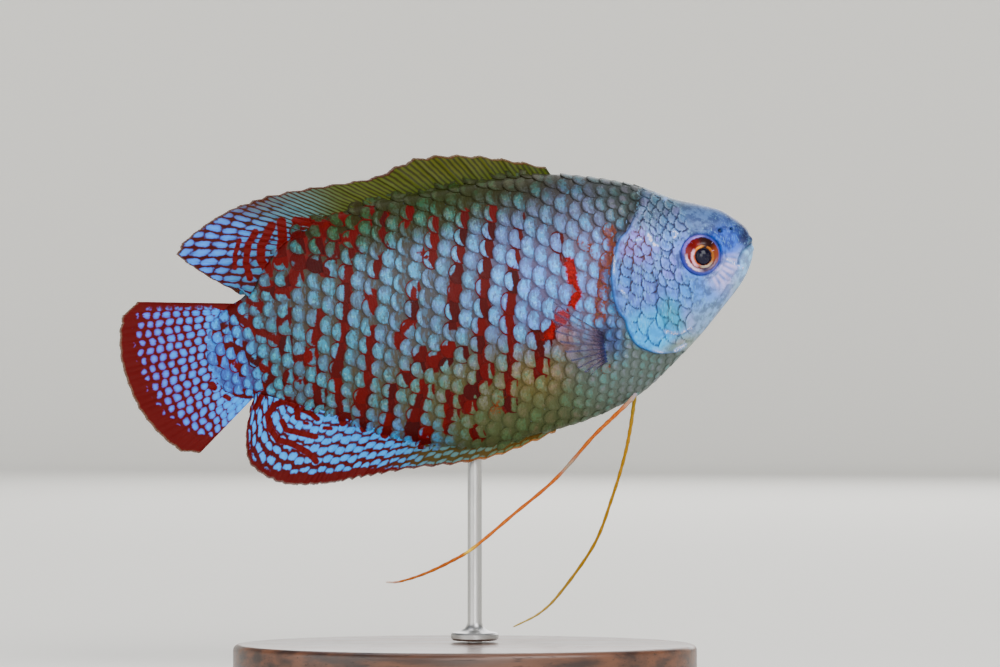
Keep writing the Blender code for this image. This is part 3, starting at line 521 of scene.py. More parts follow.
class FlankMap:
    """Looks up points of one flank by place along the fish and distance from its middle line."""
    REAR, FRONT, STEP_ALONG = -30.9, 34.0, 0.2
    REACH_UP, STEP_UP = 27.0, 0.12

    def __init__(self):
        self.x = np.arange(self.REAR, self.FRONT, self.STEP_ALONG)
        y, z, middle, total = half_sections(self.x, 400)
        self.up = middle
        self.down = total - middle
        self.s = np.arange(-self.REACH_UP, self.REACH_UP + 0.01, self.STEP_UP)
        self.y = np.zeros((len(self.x), len(self.s)))
        self.z = np.zeros_like(self.y)
        for k in range(len(self.x)):
            at = np.clip(middle[k] - self.s, 0, total[k])
            even = np.linspace(0, total[k], y.shape[1])
            self.y[k] = np.interp(at, even, y[k])
            self.z[k] = np.interp(at, even, z[k])

    def place(self, x, s):
        """Half thickness and height at places along the fish and distances up the flank."""
        i = np.clip((x - self.x[0]) / self.STEP_ALONG, 0, len(self.x) - 1.001)
        j = np.clip((s - self.s[0]) / self.STEP_UP, 0, len(self.s) - 1.001)
        a, b = i.astype(int), j.astype(int)
        f, g = i - a, j - b
        out = []
        for grid in (self.y, self.z):
            low = grid[a, b] * (1 - g) + grid[a, b + 1] * g
            high = grid[a + 1, b] * (1 - g) + grid[a + 1, b + 1] * g
            out.append(low * (1 - f) + high * f)
        return out

    def point(self, x, s):
        """Points of the left flank."""
        y, z = self.place(x, s)
        return np.stack([x, y, z], -1)

    def normal(self, x, s):
        """The flank's directions outward."""
        along = self.point(x + 0.3, s) - self.point(x - 0.3, s)
        up = self.point(x, s + 0.2) - self.point(x, s - 0.2)
        normal = unit(np.cross(along, up))
        return normal * np.where(normal[..., 1:2] < 0, -1, 1)

    def ends(self, x):
        """How far up and down the flank reaches at places along the fish."""
        return np.interp(x, self.x, self.up), np.interp(x, self.x, self.down)


def line_distance(x, z, line):
    """Distance to a line of points in side view, its side, and the nearest point's share."""
    line = np.asarray(line, float)
    best = np.full(np.shape(x), 1e9)
    turn = np.zeros(np.shape(x))
    along = np.zeros(np.shape(x))
    steps = np.diff(line, axis=0)
    sizes = np.hypot(steps[:, 0], steps[:, 1])
    before = np.concatenate([[0], np.cumsum(sizes)])
    for k, (dx, dz) in enumerate(steps):
        px, pz = x - line[k, 0], z - line[k, 1]
        t = np.clip((px * dx + pz * dz) / sizes[k] ** 2, 0, 1)
        away = np.hypot(px - t * dx, pz - t * dz)
        nearer = away < best
        best = np.where(nearer, away, best)
        turn = np.where(nearer, np.sign(dx * pz - dz * px), turn)
        along = np.where(nearer, before[k] + t * sizes[k], along)
    return best, turn, along / before[-1]


def marks_at(x, z, strokes):
    """How deep a place lies inside the nearest stroke, negative outside, in millimetres."""
    depth = np.full(np.shape(x), -3.0)
    for width, *points in strokes:
        away = line_distance(x, z, points)[0]
        depth = np.maximum(depth, width / 2 - away)
    return depth


def zone_colours(x, z, zones):
    """Shine and ground colours at places in side view, blended between the zones."""
    total = np.zeros(np.shape(x))
    shine = np.zeros(np.shape(x) + (3,))
    ground = np.zeros_like(shine)
    for cx, cz, reach_x, reach_z, bright, dark in zones:
        weight = np.exp(-((x - cx) / reach_x) ** 2 - ((z - cz) / reach_z) ** 2) + 1e-12
        total += weight
        shine += weight[..., None] * pigment(bright)
        ground += weight[..., None] * pigment(dark)
    return shine / total[..., None], ground / total[..., None]


def quiet_at(x, z):
    """1 on back, belly and throat, where the scales hardly stand out from their ground."""
    back, belly = section_at(x)[:2]
    top = ease(back - z, 3.6, 1.2) * ease(x, -20.0, -14.0)
    return np.maximum(0.8 * top, ease(z - belly, 7.5, 3.0) * ease(x, -9.0, -1.0))


def in_head(x, z):
    """How far a place in side view lies in front of the gill covers and the nape."""
    line = ((31.0, 16.0), (27.4, 10.6), (26.2, 9.0)) + GILL_RIM
    away, turn, _ = line_distance(x, z, line)
    return away * turn


def plates(x, z):
    """The scale-like plates of cheek and gill cover at places in side view.

    They overlap backwards and down. Gives the distance behind the rim of the plate above, the
    distance from the plate's own rim, how far a place lies behind its middle, and a chance
    value of the plate.
    """
    random = np.random.default_rng(11)
    seeds = []
    row_z, row = 9.6, 0
    while row_z > -11.5:
        pitch = 1.15 + 0.95 * float(ease(row_z, 3.0, -8.0))
        seed_x = 18.8 + 0.5 * pitch * (row % 2)
        while seed_x < 33.0:
            ahead = 1 - 0.28 * float(ease(seed_x, 25.5, 27.0)) * (pitch > 1.3)
            seeds.append((seed_x + random.normal(0, 0.10) * pitch,
                          row_z + random.normal(0, 0.09) * pitch, random.random(),
                          (0.70 + 0.06 * random.random()) * pitch))
            seed_x += pitch * ahead
        row_z -= 0.84 * pitch
        row += 1
    seeds = np.array(seeds)
    seeds = seeds[np.argsort(-(seeds[:, 0] + 0.35 * seeds[:, 1]))]
    across, up = x[..., None] - seeds[:, 0], z[..., None] - seeds[:, 1]
    inside = (1 - np.hypot(across, up) / seeds[:, 3]) * seeds[:, 3]
    top = np.argmax(inside > 0, axis=-1)[..., None]
    above = np.where(np.arange(len(seeds)) < top, -inside, 9.0)
    rim = np.take_along_axis(inside, top, -1)[..., 0]
    behind = -np.take_along_axis(across * 0.94 + up * 0.34, top, -1)[..., 0]
    chosen = seeds[top[..., 0]]
    return np.maximum(above.min(-1), 0), rim, behind / chosen[..., 3], chosen[..., 2]


def plate_zone(x, z):
    """1 where the plates show, fading out towards snout, nape and throat."""
    rear = ease(in_head(x, z), 0.45, 0.8)
    front = ease(x - 0.25 * np.minimum(z, 2) + 0.35 * np.maximum(z - 2, 0), 32.4, 30.6)
    return rear * front * ease(from_eye(x, z), 3.0, 3.6) * ease(z, -11.2, -10.0)


def head_relief(x, z):
    """How far the head's skin stands out at places in side view."""
    away, turn, along = line_distance(x, z, GILL_CURVE)
    inside = away * turn
    ends = ease(along, 0.0, 0.12) * ease(along, 1.0, 0.86)
    raised = 0.42 * ease(inside, -0.08, 0.06) * ease(inside, 6.0, 0.6)
    raised += 0.10 * swell(inside, 0.32, 0.2) - 0.05 * swell(inside, 0.8, 0.25)
    raised -= 0.10 * swell(inside, -0.25, 0.22)
    relief = raised * ends
    away, turn, along = line_distance(x, z, smooth(CHEEK_EDGE, 50))
    ahead = away * turn
    ends = ease(along, 0.0, 0.3) * ease(along, 1.0, 0.8)
    relief += ends * (0.16 * ease(ahead, -0.08, 0.1) * ease(ahead, 2.5, 0.3)
                      + 0.05 * swell(ahead, 0.25, 0.18))
    seam, _, behind, _ = plates(x, z)
    relief += plate_zone(x, z) * (0.07 * ease(seam, 0.0, 0.25) - 0.05 + 0.05 * behind)
    eye = from_eye(x, z)
    relief += 0.24 * swell(eye, 2.86, 0.21) - 1.6 * ease(eye, 2.66, 2.3)
    relief -= 0.06 * swell(eye, 3.3, 0.2)
    for nx, nz, radius in NOSTRILS:
        away = np.hypot(x - nx, z - nz)
        relief += 0.08 * swell(away, 1.3 * radius, 0.13)
        relief -= 0.45 * ease(away, radius * 1.05, radius * 0.5)
    away = line_distance(x, z, MOUTH_CURVE[MOUTH_CURVE[:, 0] > MOUTH_CORNER_X])[0]
    relief += 0.32 * swell(away, 0.5, 0.42) - 0.30 * swell(away, 0, 0.11)
    jaw = MOUTH_CURVE[MOUTH_CURVE[:, 0] < MOUTH_CORNER_X + 0.1]
    away, turn, along = line_distance(x, z, jaw)
    relief -= 0.13 * swell(away, 0, 0.16) * ease(along, 1.0, 0.55)
    relief += 0.07 * swell(away * turn, 0.4, 0.25) * ease(along, 1.0, 0.4)
    spokes = np.arctan2(z - EYE_PLACE[1], x - EYE_PLACE[0])
    ribs = np.cos(spokes * CHEEK_RIBS)
    window = swell(x, 34.2, 1.3) * swell(z, -3.6, 1.2) * ease(eye, 3.0, 3.5)
    return relief + 0.09 * ribs * window


def world_points(points):
    """Points of the fish's own frame in millimetres, in the world in metres."""
    pose = bpy.context.scene.gourami_pose
    turn = pose.nose_up
    points = np.asarray(points, float)
    x, y, z = points[..., 0] * MM, points[..., 1] * MM, points[..., 2] * MM
    return np.stack([pose.middle_x + x * math.cos(turn) - z * math.sin(turn), y,
                     pose.middle_height + x * math.sin(turn) + z * math.cos(turn)], -1)


def deselect():
    """Leave nothing selected, so that an operator acts on the new object alone."""
    if bpy.context.mode != "OBJECT":
        bpy.ops.object.mode_set(mode="OBJECT")
    bpy.ops.object.select_all(action="DESELECT")


def start(name, primitive, **settings):
    """Add a primitive on its own, and name it and its mesh."""
    deselect()
    primitive(**settings)
    obj = bpy.context.object
    obj.name = name
    obj.data.name = name
    return obj


def edit(obj, *steps):
    """Run steps in edit mode with the whole mesh selected first."""
    bpy.context.view_layer.objects.active = obj
    bpy.ops.object.mode_set(mode="EDIT")
    bpy.ops.mesh.select_all(action="SELECT")
    for step in steps:
        step()
    bpy.ops.object.mode_set(mode="OBJECT")


def face_outward(obj):
    """Turn the faces of a closed mesh outward."""
    edit(obj, lambda: bpy.ops.mesh.normals_make_consistent(inside=False))


def place_points(obj, points):
    """Move a mesh's points to places given in the fish's frame."""
    obj.data.vertices.foreach_set("co", world_points(points).astype(np.float32).ravel())
    obj.data.update()


def point_values(obj, **named):
    """Store numbers, vectors or colours on the points of a mesh, each under its name."""
    for name, values in named.items():
        values = np.asarray(values, np.float32)
        if values.ndim == 1:
            kind, key = "FLOAT", "value"
        elif name.endswith("_colour"):
            kind, key = "FLOAT_COLOR", "color"
            values = np.column_stack([values, np.ones(len(values), np.float32)])
        else:
            kind, key = "FLOAT_VECTOR", "vector"
        store = obj.data.attributes.new(name, kind, "POINT")
        store.data.foreach_set(key, values.ravel())


def grid_points(obj):
    """The points of a fresh primitive."""
    points = np.zeros(len(obj.data.vertices) * 3)
    obj.data.vertices.foreach_get("co", points)
    return points.reshape(-1, 3)


def closed_form(name, around, along, place):
    """A round form: the points of a sphere, moved where place(turn, share) says.

    turn runs round the form from 0 to 1 and share from its first pole to its last. Gives the
    object and both numbers for each of its points.
    """
    obj = start(name, bpy.ops.mesh.primitive_uv_sphere_add, segments=around, ring_count=along,
                radius=1.0)
    co = grid_points(obj)
    share = np.round(np.arccos(np.clip(co[:, 2], -1, 1)) / math.pi * along) / along
    turn = np.round(np.arctan2(co[:, 1], co[:, 0]) / (2 * math.pi) * around) % around / around
    points = place(turn, share)
    place_points(obj, points)
    face_outward(obj)
    return obj, turn, share


def flat_form(name, columns, rows):
    """A flat grid to be shaped, and the column and row number of each of its points."""
    obj = start(name, bpy.ops.mesh.primitive_grid_add, x_subdivisions=columns - 1,
                y_subdivisions=rows - 1, size=1.0)
    co = grid_points(obj)
    column = np.round((co[:, 0] + 0.5) * (columns - 1)).astype(int)
    row = np.round((co[:, 1] + 0.5) * (rows - 1)).astype(int)
    return obj, column, row


def keep_shape(obj):
    """Apply an object's modifiers in their order."""
    bpy.context.view_layer.objects.active = obj
    for modifier in list(obj.modifiers):
        bpy.ops.object.modifier_apply(modifier=modifier.name)


def finish_piece(obj, material, nodes=(), sharp=None):
    """Give a piece its material and smooth look, and let it ride and stand for its nodes."""
    deselect()
    obj.select_set(True)
    bpy.context.view_layer.objects.active = obj
    obj.data.materials.clear()
    obj.data.materials.append(material)
    if sharp is None:
        bpy.ops.object.shade_smooth()
    else:
        bpy.ops.object.shade_smooth_by_angle(angle=sharp)
    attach(obj, "root")
    if nodes:
        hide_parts(*nodes)
    return obj


def operator_pair(operation):
    """An operator of Value that adds a Math node, and its reflected form."""
    def plain(self, other):
        return self.math(operation, other)

    def reflected(self, other):
        node = self.look.node("ShaderNodeMath", {"operation": operation}, {0: other, 1: self})
        return Value(self.look, node.outputs[0])

    return plain, reflected


class Value:
    """A number that varies over a surface; Python's operators on it add Math nodes."""

    def __init__(self, look, socket):
        self.look = look
        self.socket = socket

    def math(self, operation, *others, clamp=False):
        values = [self] + list(others)
        node = self.look.node("ShaderNodeMath", {"operation": operation, "use_clamp": clamp},
                              dict(enumerate(values)))
        return Value(self.look, node.outputs[0])

    __add__, __radd__ = operator_pair("ADD")
    __sub__, __rsub__ = operator_pair("SUBTRACT")
    __mul__, __rmul__ = operator_pair("MULTIPLY")
    __truediv__, __rtruediv__ = operator_pair("DIVIDE")
    __pow__, __rpow__ = operator_pair("POWER")

    def size(self):
        return self.math("ABSOLUTE")

    def part(self):
        return self.math("FRACT")

    def floor(self):
        return self.math("FLOOR")

    def wave(self):
        return self.math("SINE")

    def most(self, other):
        return self.math("MAXIMUM", other)

    def clamp(self):
        return self.math("ADD", 0.0, clamp=True)

    def ease(self, low, high):
        """A soft step from 0 at low to 1 at high."""
        flip = high < low
        if flip:
            low, high = high, low
        node = self.look.node("ShaderNodeMapRange", {"interpolation_type": "SMOOTHSTEP"},
                              {"Value": self, "From Min": low, "From Max": high,
                               "To Min": 1.0 if flip else 0.0, "To Max": 0.0 if flip else 1.0})
        return Value(self.look, node.outputs[0])


class Look:
    """One material and the nodes that paint it."""

    def __init__(self, name, **constants):
        self.material = bpy.data.materials.new(name)
        self.material.use_nodes = True
        self.tree = self.material.node_tree
        self.shader = self.tree.nodes["Principled BSDF"]
        self.painted = None
        for key, value in constants.items():
            self.shader.inputs[key.replace("_", " ")].default_value = value

    def node(self, kind, settings=None, inputs=None):
        """Add a node: its settings first, then the values or links of its sockets."""
        node = self.tree.nodes.new(kind)
        for key, value in (settings or {}).items():
            if key == "stops":
                ramp = node.color_ramp
                while len(ramp.elements) < len(value):
                    ramp.elements.new(0.5)
                for element, (position, colour) in zip(ramp.elements, value):
                    element.position = position
                    element.color = (*pigment(colour), 1.0)
            else:
                setattr(node, key, value)
        for key, value in (inputs or {}).items():
            self.put(value, node.inputs[key])
        return node

    def put(self, value, socket):
        """Link a socket to another, or set its value."""
        if isinstance(value, Value):
            value = value.socket
        if isinstance(value, bpy.types.NodeSocket):
            self.tree.links.new(value, socket)
        elif isinstance(value, (tuple, list)) and len(value) == 3 and socket.type == "RGBA":
            socket.default_value = (*value, 1.0)
        else:
            socket.default_value = value

    def set(self, name, value):
        """Feed one of the shader's own sockets."""
        self.put(value, self.shader.inputs[name])

    def number(self, name):
        """A number stored on the mesh."""
        node = self.node("ShaderNodeAttribute", {"attribute_name": name})
        return Value(self, node.outputs["Fac"])

    def colour(self, name):
        """A colour stored on the mesh."""
        return self.node("ShaderNodeAttribute", {"attribute_name": name}).outputs["Color"]

    def vector(self, name):
        """The three numbers of a vector stored on the mesh."""
        node = self.node("ShaderNodeAttribute", {"attribute_name": name})
        split = self.node("ShaderNodeSeparateXYZ", None, {0: node.outputs["Vector"]})
        return [Value(self, split.outputs[k]) for k in range(3)]

    def place(self, scale=(1.0, 1.0, 1.0)):
        """The surface's own coordinates, stretched."""
        coordinates = self.node("ShaderNodeTexCoord")
        mapping = self.node("ShaderNodeMapping", None,
                            {"Vector": coordinates.outputs["Object"], "Scale": scale})
        return mapping.outputs[0]

    def noise(self, size, detail=2.0, stretch=(1.0, 1.0, 1.0)):
        """Cloudy noise from 0 to 1 with features of a size in millimetres."""
        node = self.node("ShaderNodeTexNoise", None,
                         {"Vector": self.place(stretch), "Scale": 1 / (size * MM),
                          "Detail": detail})
        return Value(self, node.outputs[0])

    def mix(self, factor, low, high, kind="MIX"):
        """Blend two colours."""
        low, high = (tuple(v) if isinstance(v, np.ndarray) else v for v in (low, high))
        node = self.node("ShaderNodeMix", {"data_type": "RGBA", "blend_type": kind},
                         {0: factor, 6: low, 7: high})
        return node.outputs[2]

    def paint(self, mask, colour):
        """Lay a colour over what is painted so far, where a mask from 0 to 1 says."""
        self.painted = self.mix(mask, self.painted, colour)

    def times(self, colour, factors):
        """Tint a colour by a factor for each of red, green and blue."""
        return self.mix(1.0, colour, factors, "MULTIPLY")

    def bump(self, height, strength=0.5, distance=0.1):
        """Feed small relief, with a full height in millimetres, to the shader."""
        node = self.node("ShaderNodeBump", None,
                         {"Strength": strength, "Distance": distance * MM, "Height": height})
        self.set("Normal", node.outputs[0])


def deep_red():
    """The pigment of the red marks."""
    return tuple(bpy.context.scene.gourami_skin.mark_red)


def skin_look():
    """Head, fin roots and what shows between the scales."""
    look = Look("gourami_skin", Specular_IOR_Level=0.12, Coat_Roughness=0.25, Coat_IOR=1.4)
    shine, ground = look.colour("shine_colour"), look.colour("ground_colour")
    seam = look.number("seam")
    head = look.number("head")
    chance = look.number("chance")
    fine = look.noise(0.35, 3.0)
    grain = fine - 0.5
    broad = look.noise(2.2, 2.0)
    edge = (seam + grain * 0.25).ease(0.08, 0.36)
    plated = look.number("plated")
    aqua = look.times(shine, (0.60, 1.00, 0.92))
    lilac = look.times(shine, (1.45, 0.86, 1.00))
    tone = look.mix((chance - 0.5).ease(0.0, 0.4) * 0.8, shine, aqua)
    tone = look.mix((0.5 - chance).ease(0.0, 0.4) * 0.8, tone, lilac)
    # Painted shade: the front part of each plate, tucked under the plate ahead, is darkened toward
    # the ground colour.
    ahead = (look.number("plate_side") + grain * 1.2).ease(0.3, -0.7) * plated
    tone = look.mix(ahead * 0.5, tone, ground)
    # Painted highlight: each plate's rim is lightened toward a whitened shine.
    rim_highlight = (look.number("plate_rim") + grain * 0.3).ease(0.26, 0.04) * plated
    tone = look.mix(rim_highlight * (chance + 0.3).clamp() * 0.8, tone,
                    look.times(shine, (1.7, 1.45, 1.15)))
    # Painted shadow: on the plates, the darkened ground laid where edge is low is a shadow line
    # just behind the rim of the plate above.
    between = look.mix(plated, ground, look.times(ground, (0.46, 0.38, 0.42)))
    look.painted = look.mix(edge, between, tone)
    dull = look.noise(0.9, 3.0).ease(0.40, 0.62)
    look.paint(dull * (0.8 - plated * 0.4), ground)
    silk = look.noise(0.30, 2.0, (1.6, 1.6, 0.45))
    # Painted sheen: whitish noise over the head, also made a little metallic.
    glint = (silk + (broad - 0.5) * 0.5).ease(0.52, 0.74) * head
    look.paint(glint * 0.55, look.mix(0.5, shine, shade(206, 218, 255)))
    look.paint(look.number("between_ribs").clamp() * 0.75, shade(120, 146, 216))
    ribs = look.number("ribs") * (0.25 + silk)
    look.paint(ribs.clamp() * 0.95, shade(218, 214, 254))
    look.paint(look.number("rim").clamp() * 0.55, shade(92, 146, 244))
    # Painted highlights: a lilac glow and white cores along the glint strokes.
    sparks = look.noise(0.16, 2.0, (1.0, 1.0, 0.7))
    bright = look.number("glint") + grain * 1.2
    look.paint(bright.ease(0.10, 0.90) * 0.6, shade(176, 190, 250))
    bright = bright * edge + (sparks - 0.5) * 2.0
    look.paint(bright.ease(0.75, 1.15) * 0.9, shade(240, 238, 252))
    # Painted shade: darkens the gill slit, mouth slit, nostril pits and eye groove, with the dark
    # line along the cheek edge.
    dark = look.number("dark_line")
    look.paint(dark.clamp() * 0.85, shade(44, 44, 84))
    red = (look.number("red") + grain * 0.3 + 0.12).ease(-0.1, 0.1)
    look.paint(red, deep_red())
    brown = (look.number("brown") + grain * 0.5).ease(-0.2, 0.25)
    look.paint(brown * 0.8, shade(140, 84, 10))
    look.set("Base Color", look.painted)
    look.set("Metallic", glint * 0.3)
    look.set("Roughness", 0.40 + grain * 0.18)
    look.set("Coat Weight", 0.10 + (broad - 0.5) * 0.1)
    look.bump(look.noise(0.22, 3.0) + look.noise(0.7, 2.0) * 0.8, 0.5, 0.06)
    return look.material


def scale_look():
    """The body's scales: a pale upright patch on each, dark gaps and red marks between, painted
    shade along each scale's rear rim and painted sparkle highlights.
    """
    look = Look("gourami_scales", Specular_IOR_Level=0.08, Coat_Roughness=0.25, Coat_IOR=1.4)
    shine, ground = look.colour("shine_colour"), look.colour("ground_colour")
    inward, across, width = look.vector("on_scale")
    chance = look.number("chance")
    fine = look.noise(0.30, 2.0)
    grain = fine - 0.5
    broad = look.noise(3.0, 2.0)
    half = width * 0.5
    along = (inward - half - 0.14) / half
    side = across / 0.85
    along, side = along * along, side * side
    round_up = (along ** 1.5 + side ** 1.5) ** 0.667
    shape = round_up.ease(1.45, 0.75)
    silk = look.noise(0.45, 2.0, (1.3, 1.3, 0.6))
    patch = (round_up + grain * 2.4).ease(1.50, 0.70)
    core = (round_up + grain * 2.0 + (silk - 0.5) * 4.2).ease(1.15, -0.05) ** 2.0
    quiet = look.number("quiet")
    strength = (0.90 + (chance - 0.5) * 0.7 + (broad - 0.5) * 1.1 - quiet * 0.30).clamp()
    hue = look.noise(1.4, 1.0) + (chance - 0.5) * 0.3
    aqua = look.times(shine, (0.68, 1.02, 0.90))
    lilac = look.times(shine, (1.50, 0.90, 1.05))
    tone = look.mix(hue.ease(0.50, 0.62) * 0.8, shine, aqua)
    tone = look.mix(hue.ease(0.48, 0.38) * 0.8, tone, lilac)
    between = look.mix(silk.ease(0.48, 0.62) * (0.22 - quiet * 0.15), ground, tone)
    look.painted = look.mix(patch * strength, between, look.mix(0.30, ground, tone))
    look.paint(core * strength, tone)
    # Painted highlight: white-lilac sparkle in the patches' cores.
    sparkle_highlight = (silk + grain * 1.4).ease(0.50, 0.62) * core * strength
    look.paint(sparkle_highlight * (0.95 - quiet * 0.7), look.times(shine, (2.40, 1.80, 1.25)))
    # Painted shade: darkens each scale along its rear rim.
    crease_shade = (inward + grain * 0.4).ease(0.26, 0.04)
    look.paint(crease_shade * (0.8 - quiet * 0.5), look.times(ground, (0.50, 0.52, 0.50)))
    rich = look.mix((chance * 5.0).part(), deep_red(), shade(80, 2, 1))
    red = (look.number("red") + grain * 0.25 - shape * 0.56 + 0.40).ease(-0.08, 0.08)
    look.paint(red, rich)
    bright = look.number("bright_red") + grain * 0.6 + 0.14
    look.paint(bright.ease(-0.16, 0.12),
               look.mix((fine * 3.0 - 1.0).clamp(), shade(196, 12, 0), shade(140, 6, 0)))
    brown = (look.number("brown") + grain * 0.7 - patch * 0.35 + 0.28).ease(-0.16, 0.20)
    look.paint(brown * 0.85,
               look.mix((fine * 3.0 - 1.0).clamp(), shade(116, 36, 4), shade(150, 70, 8)))
    look.set("Base Color", look.painted)
    look.set("Metallic", patch * 0.15 * (1.0 - red))
    look.set("Roughness", 0.46 - patch * 0.10 + grain * 0.1)
    look.set("Coat Weight", 0.06 + (broad - 0.5) * 0.06)
    rings = (inward * 19.0 + across * across * 9.0).wave() * 0.22
    look.bump(rings + look.noise(0.25, 2.0) + patch * 0.8, 0.5, 0.04)
    return look.material


def fin_look(name, spot_length, reach_across, reach_along, stagger, from_edge=False):
    """A fin's net of pale spots on a dark ground, with marks, margin and rays."""
    look = Look("gourami_" + name, Specular_IOR_Level=0.08, Coat_Roughness=0.25, Coat_Weight=0.04)
    shine, ground = look.colour("shine_colour"), look.colour("ground_colour")
    lane, along, edge = look.vector("on_ray")
    fine = look.noise(0.32, 2.0)
    grain = fine - 0.5
    cell = lane + (look.noise(1.4, 1.0) - 0.5) * 0.4
    row = cell.floor()
    run = edge if from_edge else along
    step = run / spot_length + (row * 0.5).part() * stagger + (look.noise(1.7, 1.0) - 0.5) * 0.6
    u = (cell.part() - 0.5) * (2.0 / reach_across)
    v = (step.part() - 0.5) * (2.0 / reach_along) * (1.0 - look.number("streak"))
    size = look.number("spot_size") * (0.80 + look.noise(1.0, 1.0) * 0.4)
    u, v = u * u, v * v
    reach = ((u ** 1.25 + v ** 1.25) ** 0.4) / size
    spot = (reach + grain * 0.40).ease(1.20, 0.80)
    band = look.number("band") + grain * 0.5
    spot = spot * band.ease(0.20, -0.20)
    plain = look.number("plain")
    quiet = look.mix(0.62, shine, ground, "MULTIPLY")
    ground = look.mix((plain + grain * 0.6).ease(0.25, 0.75), ground,
                      look.mix(0.55, quiet, look.mix(0.5, shine, shade(20, 60, 110))))
    pale = look.mix(reach.ease(0.7, 0.1) * 0.6, shine, look.times(shine, (1.7, 1.3, 1.1)))
    pale = look.mix(look.number("violet") * reach.ease(0.45, 0.95), pale, shade(118, 76, 200))
    look.painted = look.mix(spot, ground, pale)
    red = (look.number("red") + grain * 0.25 + 0.06).ease(-0.08, 0.08)
    look.paint(red, deep_red())
    look.paint(band.ease(-0.1, 0.2), look.colour("band_colour"))
    fringe = (edge + grain * 0.25).ease(0.40, 0.12)
    look.paint(fringe * 0.8, look.colour("fringe_colour"))
    look.set("Base Color", look.painted)
    look.set("Roughness", 0.48 + grain * 0.15)
    look.set("Alpha", (1.0 - fringe * 0.35).clamp())
    segments = (along * 9.0).wave() * 0.1
    look.bump(look.noise(0.25, 2.0) + segments, 0.4, 0.03)
    return look.material


def clear_fin_look():
    """The breast fins: see-through membrane with dark and pale rays from a blue root."""
    look = Look("gourami_clear_fin", Specular_IOR_Level=0.5, Coat_Weight=0.2, Coat_Roughness=0.15)
    ray, along, _ = look.vector("on_ray")
    fine = look.noise(0.3, 2.0)
    grain = fine - 0.5
    near = (ray.part() - 0.5).size().ease(0.32, 0.46)
    root = (along + grain * 1.6).ease(3.2, 0.9)
    look.painted = look.mix(near, shade(150, 120, 130), shade(44, 30, 78))
    look.paint((fine - 0.35).clamp() * 0.8, shade(166, 160, 200))
    look.paint(root * 0.9, shade(18, 16, 74))
    azure = (along + grain * 1.6).ease(1.3, 0.4) * (ray * 0.33 - 0.6).wave()
    look.paint(azure.clamp() * 0.45, shade(56, 96, 200))
    look.set("Base Color", look.painted)
    look.set("Roughness", 0.36 + grain * 0.1)
    look.set("Alpha", (0.24 + near * 0.45 + root * 0.75 - along.ease(4.0, 8.0) * 0.14).clamp())
    look.bump(look.noise(0.2, 2.0), 0.3, 0.02)
    return look.material


def feeler_look(side):
    """A feeler: orange to ochre, with blue-white and pale stretches along it."""
    look = Look("gourami_feeler_" + side, Specular_IOR_Level=0.12, Coat_Weight=0.04)
    share = look.number("share") + (look.noise(0.5, 1.0) - 0.5) * 0.02
    fine = look.noise(0.3, 2.0)
    grain = fine - 0.5
    if side == "right":
        stops = ((0.0, (120, 130, 120)), (0.08, (150, 176, 214)), (0.20, (176, 160, 150)),
                 (0.25, (196, 104, 12)), (0.40, (190, 94, 6)), (0.425, (160, 150, 140)),
                 (0.45, (196, 102, 10)), (0.62, (204, 116, 20)), (0.65, (214, 204, 180)),
                 (0.68, (192, 98, 12)), (0.90, (184, 102, 30)), (1.0, (220, 216, 214)))
    else:
        stops = ((0.0, (112, 118, 100)), (0.15, (160, 152, 104)), (0.35, (176, 140, 46)),
                 (0.7, (172, 138, 60)), (1.0, (196, 186, 160)))
    look.painted = look.node("ShaderNodeValToRGB", {"stops": stops}, {0: share}).outputs[0]
    look.paint((fine - 0.45).clamp() * 0.8, shade(230, 190, 120))
    look.set("Base Color", look.painted)
    look.set("Roughness", 0.42 + grain * 0.15)
    look.bump(fine, 0.3, 0.02)
    return look.material


